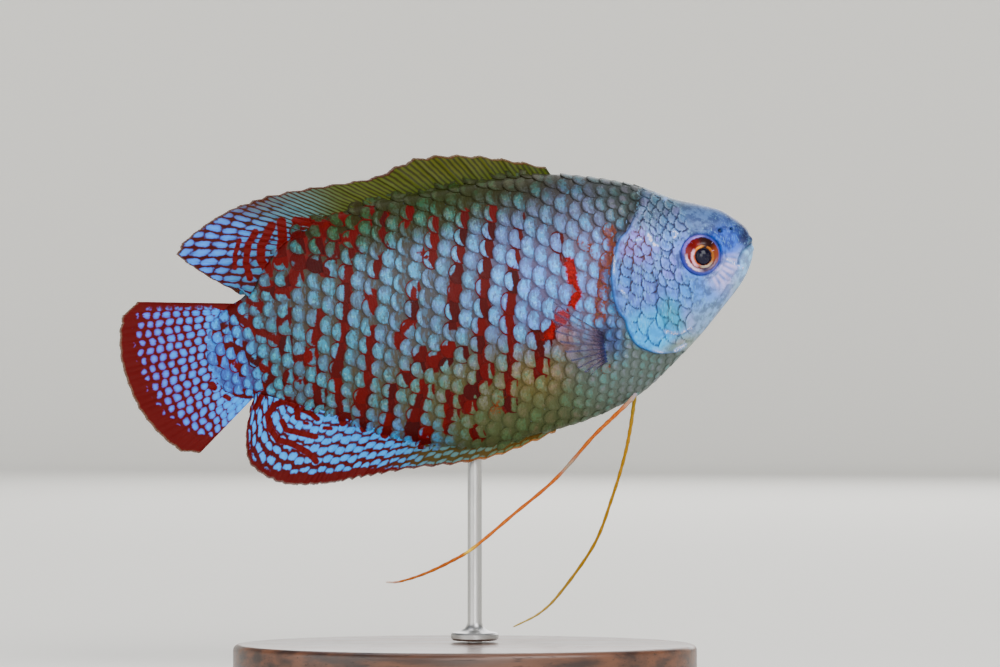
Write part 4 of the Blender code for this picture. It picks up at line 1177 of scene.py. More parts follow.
def eye_look():
    """Iris with red and gold inside a violet-blue ring, and painted highlight crescents in pale
    white and lavender.
    """
    look = Look("gourami_eye", Coat_Weight=0.25, Coat_Roughness=0.06, Specular_IOR_Level=0.2)
    forward, up, inner = look.vector("gaze")
    fine = look.noise(0.25, 3.0)
    grain = fine - 0.5
    radius = (forward * forward + up * up) ** 0.5 + grain * 0.30
    inner = inner + grain * 0.25

    def ring(middle, width, away=None):
        return (((away or radius) - middle).size() / width).ease(1.1, 0.3)

    def towards(degrees, spread):
        turn = math.radians(degrees)
        facing = forward * math.cos(turn) + up * math.sin(turn)
        aside = (forward * math.sin(turn) - up * math.cos(turn)).size()
        return (aside / facing.most(0.02) - math.tan(math.radians(spread))).ease(0.55, -0.45)

    def tint(mask, colour, strength=1.0):
        look.paint(mask * strength, shade(*colour))

    look.painted = shade(150, 58, 22)
    tint(towards(140, 62), (150, 10, 6))
    tint(towards(50, 42), (42, 10, 16), 0.92)
    tint(towards(-12, 34), (176, 74, 20), 0.85)
    tint(towards(-75, 30), (70, 40, 60), 0.8)
    tint(ring(1.22, 0.20, inner) * towards(-20, 70), (190, 124, 34), 0.85)
    # Painted highlight: pale crescent inside the iris, left of the pupil.
    tint(ring(1.42, 0.24, inner) * towards(188, 44), (226, 206, 214), 0.95)
    tint(ring(1.20, 0.14, inner) * towards(190, 60), (220, 120, 10), 0.8)
    tint(ring(1.22, 0.26, inner) * towards(108, 24), (255, 190, 0))
    tint(ring(1.30, 0.20, inner) * towards(-84, 26), (196, 192, 186), 0.8)
    # Painted highlight: pale crescent at the iris's lower left.
    tint(ring(2.02, 0.22) * towards(216, 40), (232, 226, 240), 0.9)
    tint(ring(1.95, 0.18) * towards(-60, 30), (172, 158, 176), 0.6)
    tint(ring(1.9, 0.25) * towards(-92, 11), (16, 26, 92), 0.9)
    tint(radius.ease(2.06, 2.30), (104, 112, 212))
    # Painted highlight: lavender arc on the ring's upper left.
    tint(ring(2.34, 0.20) * towards(118, 44), (176, 158, 224), 0.8)
    tint(inner.ease(1.12, 1.02), (10, 12, 40))
    look.set("Base Color", look.painted)
    look.set("Roughness", 0.30 + grain * 0.12)
    look.set("Metallic", radius.ease(1.2, 1.4) * 0.25)
    look.bump(look.noise(0.18, 2.0), 0.25, 0.02)
    return look.material


def pupil_look():
    """A dark blue-violet lens."""
    look = Look("gourami_pupil", Coat_Weight=0.12, Coat_Roughness=0.10, Specular_IOR_Level=0.2)
    depth = look.noise(0.8, 1.0)
    look.set("Base Color", look.mix(depth, shade(10, 14, 44), shade(28, 22, 66)))
    look.set("Roughness", 0.16 + depth * 0.06)
    return look.material


def wood_look():
    """Dark stained wood under satin lacquer, its grain along the base."""
    stand = bpy.context.scene.gourami_stand
    look = Look("stand_wood", Coat_Roughness=0.22, Specular_IOR_Level=0.45)
    sway = look.noise(9.0, 2.0, (0.35, 1.0, 1.0))
    rings = look.noise(1.5, 3.0, (0.06, 1.0, 1.3))
    pores = look.noise(0.22, 2.0, (0.05, 1.0, 1.0))
    grain = (rings * 0.75 + sway * 0.35).ease(0.38, 0.72)
    dark = tuple(stand.wood_dark)
    look.painted = look.mix(grain, dark, tuple(stand.wood_light))
    pore = pores.ease(0.60, 0.72)
    look.paint(pore * 0.55, tuple(c * 0.35 for c in dark))
    look.set("Base Color", look.painted)
    look.set("Roughness", 0.36 + grain * 0.1 + pore * 0.2)
    look.set("Coat Weight", 0.4 - pore * 0.2)
    look.bump(grain * 0.4 - pore * 0.7 + sway * 0.2, 0.35, 0.05)
    return look.material


def steel_look():
    """Steel brushed round the rod, a little darker where hands and air have dulled it."""
    look = Look("stand_steel", Specular_IOR_Level=0.5)
    brushed = look.noise(0.12, 2.0, (0.25, 0.25, 3.0))
    dull = look.noise(4.0, 3.0)
    colour = look.mix(dull * 0.6, tuple(linear((206, 206, 204))), tuple(linear((150, 150, 152))))
    look.set("Base Color", look.mix(brushed * 0.25, colour, tuple(linear((112, 112, 116)))))
    look.set("Metallic", 1.0)
    look.set("Roughness", 0.24 + brushed * 0.16 + dull * 0.08)
    look.bump(brushed, 0.25, 0.02)
    return look.material


def stage_look():
    """Matt pale paper that glows a little toward its rim, so that the background stays even."""
    stage = bpy.context.scene.gourami_stage
    look = Look("stage_paper", Specular_IOR_Level=0.2, Emission_Strength=0.5)
    cloud = look.noise(60.0, 2.0)
    colour = tuple(stage.paper_colour)
    look.set("Base Color", look.mix(cloud * 0.12, colour, tuple(c * 0.9 for c in colour)))
    look.set("Roughness", 0.85 + (cloud - 0.5) * 0.05)
    look.set("Emission Color", look.mix(look.number("far"), (0.0, 0.0, 0.0), colour))
    return look.material


def colour_body(obj, x, z, mark_x, mark_z):
    """Store the colours and markings of skin or scales at places in side view."""
    front = ease(in_head(x, z), -0.3, 0.4)[..., None]
    body_shine, body_ground = zone_colours(x, z, BODY_ZONES)
    head_shine, head_ground = zone_colours(x, z, HEAD_ZONES)
    away, turn, _ = line_distance(x, z, MOUTH_CURVE)
    under = ease(away * turn, -0.1, 0.1)[..., None] * swell(x, 38.0, 3.0)[..., None] * 0.85
    head_shine = head_shine * (1 - under) + pigment((196, 210, 240)) * under
    head_ground = head_ground * (1 - under) + pigment((140, 154, 190)) * under
    # Painted shadow: shine and ground are darkened in a band just behind the gill cover's rim.
    away, turn, along = line_distance(x, z, GILL_CURVE)
    behind = swell(away * turn, -0.45, 0.55) * ease(along, 0.62, 0.5) * (x > 19)
    body_shine *= 1 - 0.72 * behind[..., None]
    body_ground *= 1 - 0.55 * behind[..., None]
    wider = 0.13 * np.maximum(ease(mark_x, -7.0, -12.0), ease(mark_z, -3.0, -6.0))
    wider -= 0.09 * ease(mark_z, 6.0, 9.0)
    red_marks = FLANK_MARKS + BACK_MARKS + ANAL_MARKS + TAIL_MARKS
    point_values(obj, shine_colour=body_shine * (1 - front) + head_shine * front,
                 ground_colour=body_ground * (1 - front) + head_ground * front,
                 red=wider + marks_at(mark_x, mark_z, red_marks),
                 bright_red=marks_at(mark_x, mark_z, BRIGHT_MARKS),
                 brown=marks_at(mark_x, mark_z, BROWN_MARKS), quiet=quiet_at(x, z))


def skin_rings():
    """Places of the skin's rings along the fish, closer on the head than under the scales."""
    fine = smooth(BODY_SECTIONS, 4000)[:, 0:3]
    step = np.linalg.norm(np.diff(fine, axis=0) * (1.0, 0.6, 0.6), axis=1)
    hidden = ease(fine[1:, 0], 20.0, 17.0) * ease(fine[1:, 0], -28.5, -26.0)
    wanted = HEAD_STEP + (TRUNK_STEP - HEAD_STEP) * hidden
    count = np.concatenate([[0], np.cumsum(step / wanted)])
    return np.interp(np.linspace(0, count[-1], int(count[-1])), count, fine[:, 0])


def head_lines(x, z):
    """How strongly the head's fine lines, painted shade lines and painted highlights show at
    places in side view.
    """
    away, side, along = line_distance(x, z, GILL_CURVE)
    inside = away * side
    rim = swell(inside, 0.18, 0.17) * ease(along, 0.05, 0.25) * (x > 19)
    # Painted shade: dark lines in the gill slit behind the cover's rim, the mouth slit, the
    # nostril pits and the groove round the eye, and a dark line along the cheek edge.
    dark = 0.8 * swell(inside, -0.15, 0.25) * (x > 19) * ease(along, 0.0, 0.1)
    lips = line_distance(x, z, MOUTH_CURVE[MOUTH_CURVE[:, 0] > MOUTH_CORNER_X])[0]
    dark += 0.6 * swell(lips, 0, 0.12)
    for nx, nz, radius in NOSTRILS:
        dark += 0.9 * ease(np.hypot(x - nx, z - nz), radius * 1.2, radius * 0.6)
    eye = from_eye(x, z)
    dark += 0.12 * ease(eye, 2.95, 2.65)
    away, side, edge_share = line_distance(x, z, smooth(CHEEK_EDGE, 60))
    dark += 0.55 * swell(away * side, -0.12, 0.13) * ease(edge_share, 0.1, 0.4)
    glint = np.zeros(len(x))
    for width, *line in HEAD_GLINTS:
        glint += swell(line_distance(x, z, smooth(line, 12))[0], 0, 0.62 * width)
    spokes = np.arctan2(z - EYE_PLACE[1], x - EYE_PLACE[0])
    fan = ease(eye, 2.9, 3.5) * ease(eye, 5.0, 3.9) * ease(np.abs(spokes + 0.8), 0.75, 0.35)
    wave = 0.5 * np.cos(spokes * CHEEK_RIBS)
    return {"rim": rim * ease(along, 1.0, 0.8), "dark_line": dark, "glint": glint,
            "ribs": fan * (0.5 + wave), "between_ribs": fan * (0.5 - wave)}


class GOURAMI_OT_body_skin(bpy.types.Operator):
    """Add one skin over head, jaw, gill covers, trunk, fin roots and tail base"""
    bl_idname = "gourami.body_skin"
    bl_label = "Body Skin"

    def execute(self, context):
        ring_x = skin_rings()
        rings = len(ring_x)
        y, z, _, _ = half_sections(ring_x, SKIN_SIDE_POINTS + 1)
        around = 2 * SKIN_SIDE_POINTS
        ring_y = np.concatenate([-y, y[:, -2:0:-1]], axis=1)
        ring_z = np.concatenate([z, z[:, -2:0:-1]], axis=1)
        grid = np.stack([np.repeat(ring_x[:, None], around, 1), ring_y, ring_z], -1)
        along = np.gradient(grid, axis=0)
        across = np.roll(grid, -1, 1) - np.roll(grid, 1, 1)
        normal = unit(np.cross(across, along))
        if normal[:, SKIN_SIDE_POINTS // 2, 1].mean() > 0:
            normal = -normal
        gx, gz = grid[..., 0], grid[..., 2]
        facing = ease(np.abs(normal[..., 1]), 0.12, 0.45)
        head = ease(in_head(gx, gz), -1.0, -0.3)
        relief = head_relief(gx, gz) * facing * ease(gx, 18.5, 19.6)
        relief -= TRUNK_INSET * (1 - head)
        grid = grid + normal * relief[..., None]
        seam, rim_in, behind, tone = plates(gx, gz)
        shown = plate_zone(gx, gz)
        seam = seam * shown + 0.60 * (1 - shown)
        over = np.where(gz > 0, gz - section_at(gx)[0], section_at(gx)[1] - gz)
        bare = np.maximum(ease(over, -0.9, 0.1), ease(gx, -28.0, -29.5))
        seam = seam * head + (1 - head) * (0.26 * bare - 0.3 * (1 - bare))
        tone = 0.5 + (tone - 0.5) * shown

        def cells(turn, share):
            ring = np.clip(np.round(share * (rings + 1)).astype(int) - 1, 0, rings - 1)
            return ring, np.round(turn * around).astype(int) % around

        def place(turn, share):
            points = grid[cells(turn, share)]
            points[share == 0] = SNOUT_END
            points[share == 1] = STALK_END
            return points

        obj, turn, share = closed_form("body_skin", around, rings + 1, place)
        at = cells(turn, share)
        x, z = gx[at], gz[at]
        colour_body(obj, x, z, x, z)
        lines = head_lines(x, z)
        lines["glint"] *= facing[at]
        point_values(obj, seam=seam[at], head=head[at], chance=tone[at],
                     plated=(shown * head)[at], plate_side=behind[at],
                     plate_rim=np.clip(rim_in, 0, 1)[at], **lines)
        finish_piece(obj, skin_look(),
                     ("head", "lower_jaw", "gill_cover_right", "gill_cover_left", "trunk",
                      "tail_stalk"))
        return {"FINISHED"}


def scale_pattern():
    """Model one scale: a rounded plate with a wall; gives its flat points and faces."""
    obj = start("scale_pattern", bpy.ops.mesh.primitive_grid_add, x_subdivisions=6,
                y_subdivisions=6, size=2.0)
    edit(obj, bpy.ops.mesh.region_to_loop,
         lambda: bpy.ops.mesh.extrude_edges_move(TRANSFORM_OT_translate={"value": (0, 0, -1.0)}),
         bpy.ops.mesh.edge_face_add)
    face_outward(obj)
    points = np.array([v.co[:] for v in obj.data.vertices])
    faces = [tuple(p.vertices) for p in obj.data.polygons]
    bpy.data.objects.remove(obj)
    return points, faces


def scale_seeds(flank_map):
    """Rear ends of the scales: place along the fish, up the flank, size and a chance value."""
    random = np.random.default_rng(5)

    def size_at(x):
        return 0.66 + 0.34 * ease(x, 25.0, 12.0) - 0.30 * ease(x, -17.0, -28.0)

    def rows_up(q):
        return (q - 0.010 * q * q if q > 0 else 0.68 * q - 1.45 * (1 - math.exp(q / 4))) * ROW_STEP

    columns = [(0, FIRST_COLUMN)]
    while columns[-1][1] < 30.0:
        number, x = columns[-1]
        columns.append((number + 1, x + COLUMN_STEP * float(size_at(x))))
    columns.append((-1, FIRST_COLUMN - COLUMN_STEP))
    while columns[-1][1] > -30.2:
        number, x = columns[-1]
        columns.append((number - 1, x - COLUMN_STEP * float(size_at(x))))
    seeds = []
    for number, x in columns:
        size = float(size_at(x))
        slant = COLUMN_SLANT * ease(x, -27.0, -14.0)
        for row in range(-14, 15):
            q = row + 0.5 * (number % 2)
            tall = size * (1 + 0.14 * ease(x, 2.0, 8.0) * ease(x, 19.0, 14.0))
            s = rows_up(q) * tall
            small = tall * (rows_up(q + 0.5) - rows_up(q - 0.5)) / ROW_STEP
            at = x + slant * s
            up, down = flank_map.ends(at)
            if -down + 0.55 * small < s < up - 0.45 * small:
                thin = 0.80 * (number % 2) * ease(at, -18.0, -8.0) * ease(at, 10.0, 5.0)
                front = 0.18 * ease(at, 5.0, 10.0)
                width = (1.52 - (thin + front) * ease(s, -9.0, -3.0)) * small
                seeds.append((at + random.normal(0, 0.06), s + random.normal(0, 0.06), small,
                              random.random(), width * random.uniform(0.86, 1.08)))
    seeds = np.array(seeds)
    order = np.argsort(-seeds[:, 0])
    seeds = seeds[order]
    z = flank_map.place(seeds[:, 0], seeds[:, 1])[1]
    return seeds[in_head(seeds[:, 0], z) < 0.5]


class GOURAMI_OT_body_scales(bpy.types.Operator):
    """Cover both flanks with overlapping scales, each a closed rounded plate"""
    bl_idname = "gourami.body_scales"
    bl_label = "Body Scales"

    def execute(self, context):
        flank_map = FlankMap()
        pattern, faces = scale_pattern()
        seeds = scale_seeds(flank_map)
        a = (1 - pattern[:, 0]) / 2
        b = pattern[:, 1]
        under = pattern[:, 2] < -0.5
        rear = 1 - 0.20 * np.abs(b) ** 2.6
        width = 0.72 + 0.28 * ease(a, 0.0, 0.45) - 0.10 * ease(a, 0.75, 1.0)
        lift = (SCALE_LIFT + SCALE_SINK) * a ** 1.2 - SCALE_SINK - 0.07 * b ** 2 * a
        lift = lift - SCALE_WALL * under
        material = scale_look()
        for word, side in SIDES:
            x0, s0, size, chance, patch = (seeds[:, k, None] for k in range(5))
            length = SCALE_LENGTH * (0.55 + 0.45 * size)
            x = x0 + length * (1 - a * rear)
            s = s0 + SCALE_HALF_WIDTH * size * b * width
            up, down = flank_map.ends(x)
            s = np.clip(s, -down + 0.02, up - 0.02)
            points = flank_map.point(x, s) + flank_map.normal(x, s) * (lift * size)[..., None]
            points[..., 1] *= side
            flat = points.reshape(-1, 3)
            count = len(pattern)
            all_faces = [tuple(v + k * count for v in face) for k in range(len(seeds))
                         for face in faces]
            mesh = bpy.data.meshes.new("body_scales_" + word)
            mesh.from_pydata([(0.0, 0.0, 0.0)] * len(flat), [], all_faces)
            obj = bpy.data.objects.new("body_scales_" + word, mesh)
            context.scene.collection.objects.link(obj)
            place_points(obj, flat)
            deselect()
            face_outward(obj)
            middle_x = np.repeat(x0 + 0.8 * size, count, 1)
            middle_z = np.repeat(flank_map.place(x0 + 0.8 * size, s0)[1], count, 1)
            px, pz = x.reshape(-1), points[..., 2].reshape(-1)
            mark_x = 0.7 * px + 0.3 * middle_x.reshape(-1)
            mark_z = 0.7 * pz + 0.3 * middle_z.reshape(-1)
            colour_body(obj, px, pz, mark_x, mark_z)
            inward = length * rear * (1 - a)
            spot = np.stack(np.broadcast_arrays(inward, b * np.ones_like(x), patch), -1)
            point_values(obj, on_scale=spot.reshape(-1, 3),
                         chance=np.repeat(chance, count, 1).reshape(-1))
            root_u = (seeds[:, 0] + 32) / 64
            root_v = (seeds[:, 1] + 24) / 48
            self.unwrap(obj, root_u, root_v, a, b, count)
            finish_piece(obj, material, sharp=math.radians(50))
        return {"FINISHED"}

    def unwrap(self, obj, root_u, root_v, a, b, count):
        """Give each scale a small patch of the map, at its place on the flank's unwrap."""
        layer = obj.data.uv_layers.new(name="OFBake")
        corners = np.zeros(len(obj.data.loops), np.int32)
        obj.data.loops.foreach_get("vertex_index", corners)
        scale, point = corners // count, corners % count
        u = root_u[scale] + 0.003 * (0.5 - a[point])
        v = root_v[scale] + 0.0015 * b[point]
        layer.data.foreach_set("uv", np.stack([u, v], -1).astype(np.float32).ravel())


def ray_profile(place, share, branching, ray_half, membrane_half):
    """Half thickness of a fin where rays stand out of its membrane and branch outward."""
    spread = 0.22 * ease(share, 0.45, 0.85) * branching
    from_ray = np.abs(place - np.round(place))
    ridge = np.exp(-((from_ray - spread) / 0.10) ** 2) * (1 - 0.45 * ease(share, 0.3, 1.0))
    return membrane_half + (ray_half - membrane_half) * ridge


def fin_columns(rays):
    """Places of a fin's columns, counted in rays and set closer beside each ray."""
    steps = np.array([0, 0.06, 0.12, 0.19, 0.28, 0.39, 0.5, 0.61, 0.72, 0.81, 0.88, 0.94])
    return np.concatenate([k + steps for k in range(rays - 1)] + [[rays - 1]])


def even_keys(keys, rays, soft_from=-99.0, count=600):
    """Rays spread evenly by the room between them, and closer from a place on to the rear."""
    fine = smooth(keys, count)
    gaps = np.abs(np.diff(fine[:, 0])) + np.hypot(np.diff(fine[:, 1]), np.diff(fine[:, 2]))
    gaps *= 1 + 0.9 * ease(fine[1:, 0], soft_from + 2, soft_from - 2)
    measure = np.concatenate([[0], np.cumsum(gaps)])
    steps = np.interp(np.linspace(0, measure[-1], rays), measure, np.arange(count))
    return np.stack([np.interp(steps, np.arange(count), fine[:, k]) for k in range(3)], -1)


def ray_fin(name, roots, tips, rows, spines, branch_from, halves=None, notches=(0.38, 0.10),
            hollow=None, lane_width=None, flare=0.0):
    """A fin as one flat sheet, with a group that says how thick it gets on both sides.

    Gives the object; for each point its place counted in rays, its distances from the root
    and the edge, and its place in the fish's frame; and the fin's greatest half thickness.
    Lanes for spots follow the rays, or keep to a set width.
    """
    sizes = bpy.context.scene.gourami_fins
    ray_half, membrane_half = halves or (sizes.ray_half / MM, sizes.membrane_half / MM)
    rays = len(roots)
    columns = fin_columns(rays)
    obj, column, row = flat_form(name, len(columns), rows)
    place = columns[column]
    low = np.minimum(place.astype(int), rays - 2)
    mix = (place - low)[:, None]
    root = roots[low] * (1 - mix) + roots[low + 1] * mix
    tip = tips[low] * (1 - mix) + tips[low + 1] * mix
    length = np.linalg.norm(tip - root, axis=1)
    off_ray = 1 - np.abs(2 * (place - np.round(place)))
    notch = np.where(place < spines, notches[0], notches[1]) * (1 - off_ray)
    jag = np.random.default_rng(rays).normal(0, 0.06, len(columns))[column]
    share = (row / (rows - 1)) ** 0.9
    reach = 1 - (notch + np.abs(jag)) / np.maximum(length, 0.5)
    points = root + (tip - root) * (share * reach)[:, None]
    if hollow is None:
        wave = 0.16 * np.sin(place * 0.9) + 0.08 * np.sin(place * 2.3 + 1)
        points[:, 1] += wave * share ** 1.5
    else:
        points += hollow * (4 * share * (1 - share))[:, None]
    branching = ease(place, branch_from - 1, branch_from + 1)
    half = ray_profile(place, share, branching, ray_half, membrane_half)
    half = half * (1 - 0.5 * ease(share, 0.85, 1.0)) + flare * np.exp(-length * share / 1.1)
    place_points(obj, points)
    group = obj.vertex_groups.new(name="thickness")
    thickest = float(half.max())
    for index, value in enumerate(half):
        group.add([index], float(value / thickest), "REPLACE")
    along = length * share
    edge = length * (1 - share)
    lane = place
    if lane_width is not None:
        middles = roots * 0.4 + tips * 0.6
        gaps = np.linalg.norm(np.diff(middles, axis=0), axis=1)
        lane = np.concatenate([[0.7], 0.7 + np.cumsum(gaps / lane_width)])
        lane = np.interp(place, np.arange(rays), lane)
    point_values(obj, on_ray=np.stack([lane, along, edge], -1))
    return obj, place, along, edge, points, thickest


def thicken(obj, thickest):
    """Give a fin's sheet its thickness on both sides, as its thickness group says."""
    solid = obj.modifiers.new("thickness", "SOLIDIFY")
    solid.thickness = 2 * thickest * MM
    solid.offset = 0.0
    solid.vertex_group = "thickness"
    keep_shape(obj)
    face_outward(obj)


def colour_fin(obj, name, x, z, marks, band, band_colour, fringe_colour, spot_size, plain=0.0,
               violet=0.0, streak=0.0):
    """Store the colours, marks and margin of a fin on its points."""
    shine, ground = zone_colours(x, z, FIN_ZONES[name])
    none = np.zeros(len(x))
    point_values(obj, shine_colour=shine, ground_colour=ground, red=marks_at(x, z, marks),
                 band=band, band_colour=band_colour, fringe_colour=fringe_colour,
                 spot_size=spot_size, plain=none + plain, violet=none + violet,
                 streak=none + streak)


def blend_colours(share, first, second):
    """A colour for each point, between two colours."""
    return pigment(first) * (1 - share[:, None]) + pigment(second) * share[:, None]


def finish_fin(obj, thickest, name, **pattern):
    """Thicken a spotted fin and paint its net of spots."""
    thicken(obj, thickest)
    finish_piece(obj, fin_look(name, **pattern), (name,))


def upright_roots(keys, rays, on_back):
    """Roots and tips of the rays of the back fin or the belly fin."""
    key = even_keys(keys, rays, -13.0 if on_back else -8.0)
    back, belly = section_at(key[:, 0])[:2]
    foot = back - 0.8 if on_back else belly + 0.8
    roots = np.column_stack([key[:, 0], np.zeros(rays), foot])
    tips = np.column_stack([key[:, 1], np.zeros(rays), key[:, 2]])
    return roots, tips


class GOURAMI_OT_dorsal_fin(bpy.types.Operator):
    """Add the long back fin with its spines, branched soft rays and dashed markings"""
    bl_idname = "gourami.dorsal_fin"
    bl_label = "Dorsal Fin"

    def execute(self, context):
        roots, tips = upright_roots(DORSAL_KEYS, context.scene.gourami_fins.dorsal_rays, True)
        lanes = 0.72 + 0.53 * ease(tips[1:, 0], -22.0, -28.0)
        obj, place, _, edge, points, thickest = ray_fin(
            "dorsal_fin_sheet", roots, tips, rows=56, spines=15, branch_from=16, flare=0.9,
            lane_width=lanes)
        x, z = points[:, 0], points[:, 2]
        rear = ease(x, -14.0, -21.0)
        front = ease(x, -4.0, 4.0)
        width = 0.30 + 0.15 * np.sin(place) ** 2
        band_colour = blend_colours(front, (92, 20, 6), (110, 62, 8))
        fringe_colour = blend_colours(front, (110, 52, 10), (124, 84, 14))
        spot_size = 0.76 + 0.16 * rear
        colour_fin(obj, "dorsal_fin", x, z, BACK_MARKS + FLANK_MARKS, width - edge, band_colour,
                   fringe_colour, spot_size, violet=0.2 * rear, streak=0.72 * (1 - rear))
        finish_fin(obj, thickest, "dorsal_fin", spot_length=2.15, reach_across=0.80,
                   reach_along=0.96, stagger=0.25)
        return {"FINISHED"}


class GOURAMI_OT_anal_fin(bpy.types.Operator):
    """Add the long belly fin with beaded rows, hooked red lines and a red margin"""
    bl_idname = "gourami.anal_fin"
    bl_label = "Anal Fin"

    def execute(self, context):
        roots, tips = upright_roots(ANAL_KEYS, context.scene.gourami_fins.anal_rays, False)
        obj, _, _, edge, points, thickest = ray_fin(
            "anal_fin_sheet", roots, tips, rows=48, spines=14, branch_from=15, flare=0.9,
            lane_width=1.05)
        x, z = points[:, 0], points[:, 2]
        rear = ease(x, -2.0, -14.0)
        lobe = ease(x, -24.0, -27.5)
        width = 0.40 + 1.15 * ease(x, -8.0, -17.0) - 0.75 * lobe
        band_colour = blend_colours(ease(x, -6, 4), (118, 3, 0), (178, 96, 10))
        fringe_colour = blend_colours(ease(x, -6, 4), (124, 44, 12), (190, 140, 40))
        spot_size = 0.72 + 0.14 * ease(edge, 2.6, 3.6) + 0.06 * ease(edge, 5.0, 6.5)
        plain = 0.30 * ease(edge, 4.6, 6.0) * rear
        colour_fin(obj, "anal_fin", x, z, ANAL_MARKS + FLANK_MARKS, width - edge, band_colour,
                   fringe_colour, spot_size, plain)
        finish_fin(obj, thickest, "anal_fin", spot_length=1.45, reach_across=1.22,
                   reach_along=0.80, stagger=0.5, from_edge=True)
        return {"FINISHED"}


class GOURAMI_OT_tail_fin(bpy.types.Operator):
    """Add the tail fin with its net of pale spots and broad red margin"""
    bl_idname = "gourami.tail_fin"
    bl_label = "Tail Fin"

    def execute(self, context):
        rays = context.scene.gourami_fins.tail_rays
        key = even_keys(TAIL_KEYS, rays)
        span = STALK_END_TOP[1] - STALK_END_BOTTOM[1]
        share = (STALK_END_TOP[1] - key[:, 0]) / span
        root_x = STALK_END_TOP[0] + share * (STALK_END_BOTTOM[0] - STALK_END_TOP[0]) + 0.6
        roots = np.column_stack([root_x, np.zeros(rays), key[:, 0] * 0.93])
        tips = np.column_stack([key[:, 1], np.zeros(rays), key[:, 2]])
        corner = ease(np.abs(np.linspace(-1, 1, rays)), 0.84, 1.0) ** 2
        tips += (roots - tips) * 0.075 * corner[:, None]
        obj, place, along, edge, points, thickest = ray_fin(
            "tail_fin_sheet", roots, tips, rows=80, spines=0, branch_from=1, flare=0.2,
            notches=(0.1, 0.1), lane_width=1.02)
        x, z = points[:, 0], points[:, 2]
        down = place / (rays - 1)
        width = 1.9 + 0.3 * np.sin(down * math.pi) ** 2 + 1.3 * ease(down, 0.55, 1.0)
        width += 0.22 * np.sin(place * 5.3) + 0.16 * np.sin(place * 12.1 + 1.0)
        band = np.maximum(width - edge, 0.30 - place * 0.55)
        band_colour = np.tile(pigment((120, 2, 0)), (len(x), 1))
        fringe_colour = np.tile(pigment((128, 74, 20)), (len(x), 1))
        spot_size = 1.10 - 0.34 * ease(along, 3.5, 7.0) - 0.20 * ease(edge, 4.5, 2.2)
        colour_fin(obj, "tail_fin", x, z, TAIL_MARKS + FLANK_MARKS, band, band_colour,
                   fringe_colour, spot_size, violet=0.25 + 0.35 * ease(along, 4.0, 10.0))
        finish_fin(obj, thickest, "tail_fin", spot_length=1.24, reach_across=1.12,
                   reach_along=0.92, stagger=0.55)
        return {"FINISHED"}


class GOURAMI_OT_pectoral_fins(bpy.types.Operator):
    """Add both breast fins, clear and held out from the flanks"""
    bl_idname = "gourami.pectoral_fins"
    bl_label = "Pectoral Fins"

    def execute(self, context):
        rays = context.scene.gourami_fins.pectoral_rays
        material = clear_fin_look()
        for word, side in SIDES:
            tips = smooth(PECTORAL_TIPS, rays)
            tips[:, 1] *= -side
            share = np.linspace(0, 1, rays)[:, None]
            line = (np.array(PECTORAL_ROOT_TOP) * (1 - share)
                    + np.array(PECTORAL_ROOT_BOTTOM) * share)
            line = line.mean(0) + (line - line.mean(0)) * 0.85
            roots = np.array([flank_point(px, pz, -0.5, side) for px, pz in line])
            hollow = np.array((-0.35, 0.45 * side, 0.0))
            obj, _, _, _, _, thickest = ray_fin(
                "pectoral_fin_sheet_" + word, roots, tips, rows=34, spines=0, branch_from=1,
                halves=(0.17, 0.05), notches=(0.5, 0.5), hollow=hollow)
            thicken(obj, thickest)
            finish_piece(obj, material, ("pectoral_fin_" + word,))
        return {"FINISHED"}


class GOURAMI_OT_pelvic_feelers(bpy.types.Operator):
    """Add the two thread-like pelvic feelers"""
    bl_idname = "gourami.pelvic_feelers"
    bl_label = "Pelvic Feelers"

    def execute(self, context):
        for word, route in FEELER_ROUTES.items():
            path = smooth(route, FEELER_RINGS + 1)
            way = unit(np.gradient(path, axis=0))
            up = unit(np.cross(way, (0.0, 1.0, 0.0)))
            across = np.cross(way, up)
            nodes = np.linspace(0, 1, FEELER_RINGS + 1)
            radii = np.interp(nodes, np.linspace(0, 1, len(FEELER_RADII)), FEELER_RADII)
            radii *= 1 + 0.10 * np.sin(nodes * 170) * ease(nodes, 0.1, 0.2)
            radii[[0, -1]] = 0

            def place(turn, share):
                ring = np.round(share * FEELER_RINGS).astype(int)
                angle = turn[:, None] * 2 * math.pi
                out = np.cos(angle) * up[ring] + np.sin(angle) * across[ring]
                return path[ring] + out * radii[ring][:, None]

            obj, turn, share = closed_form("pelvic_feeler_thread_" + word, 12, FEELER_RINGS,
                                           place)
            point_values(obj, share=share)
            finish_piece(obj, feeler_look(word), ("pelvic_feeler_" + word,))
        return {"FINISHED"}


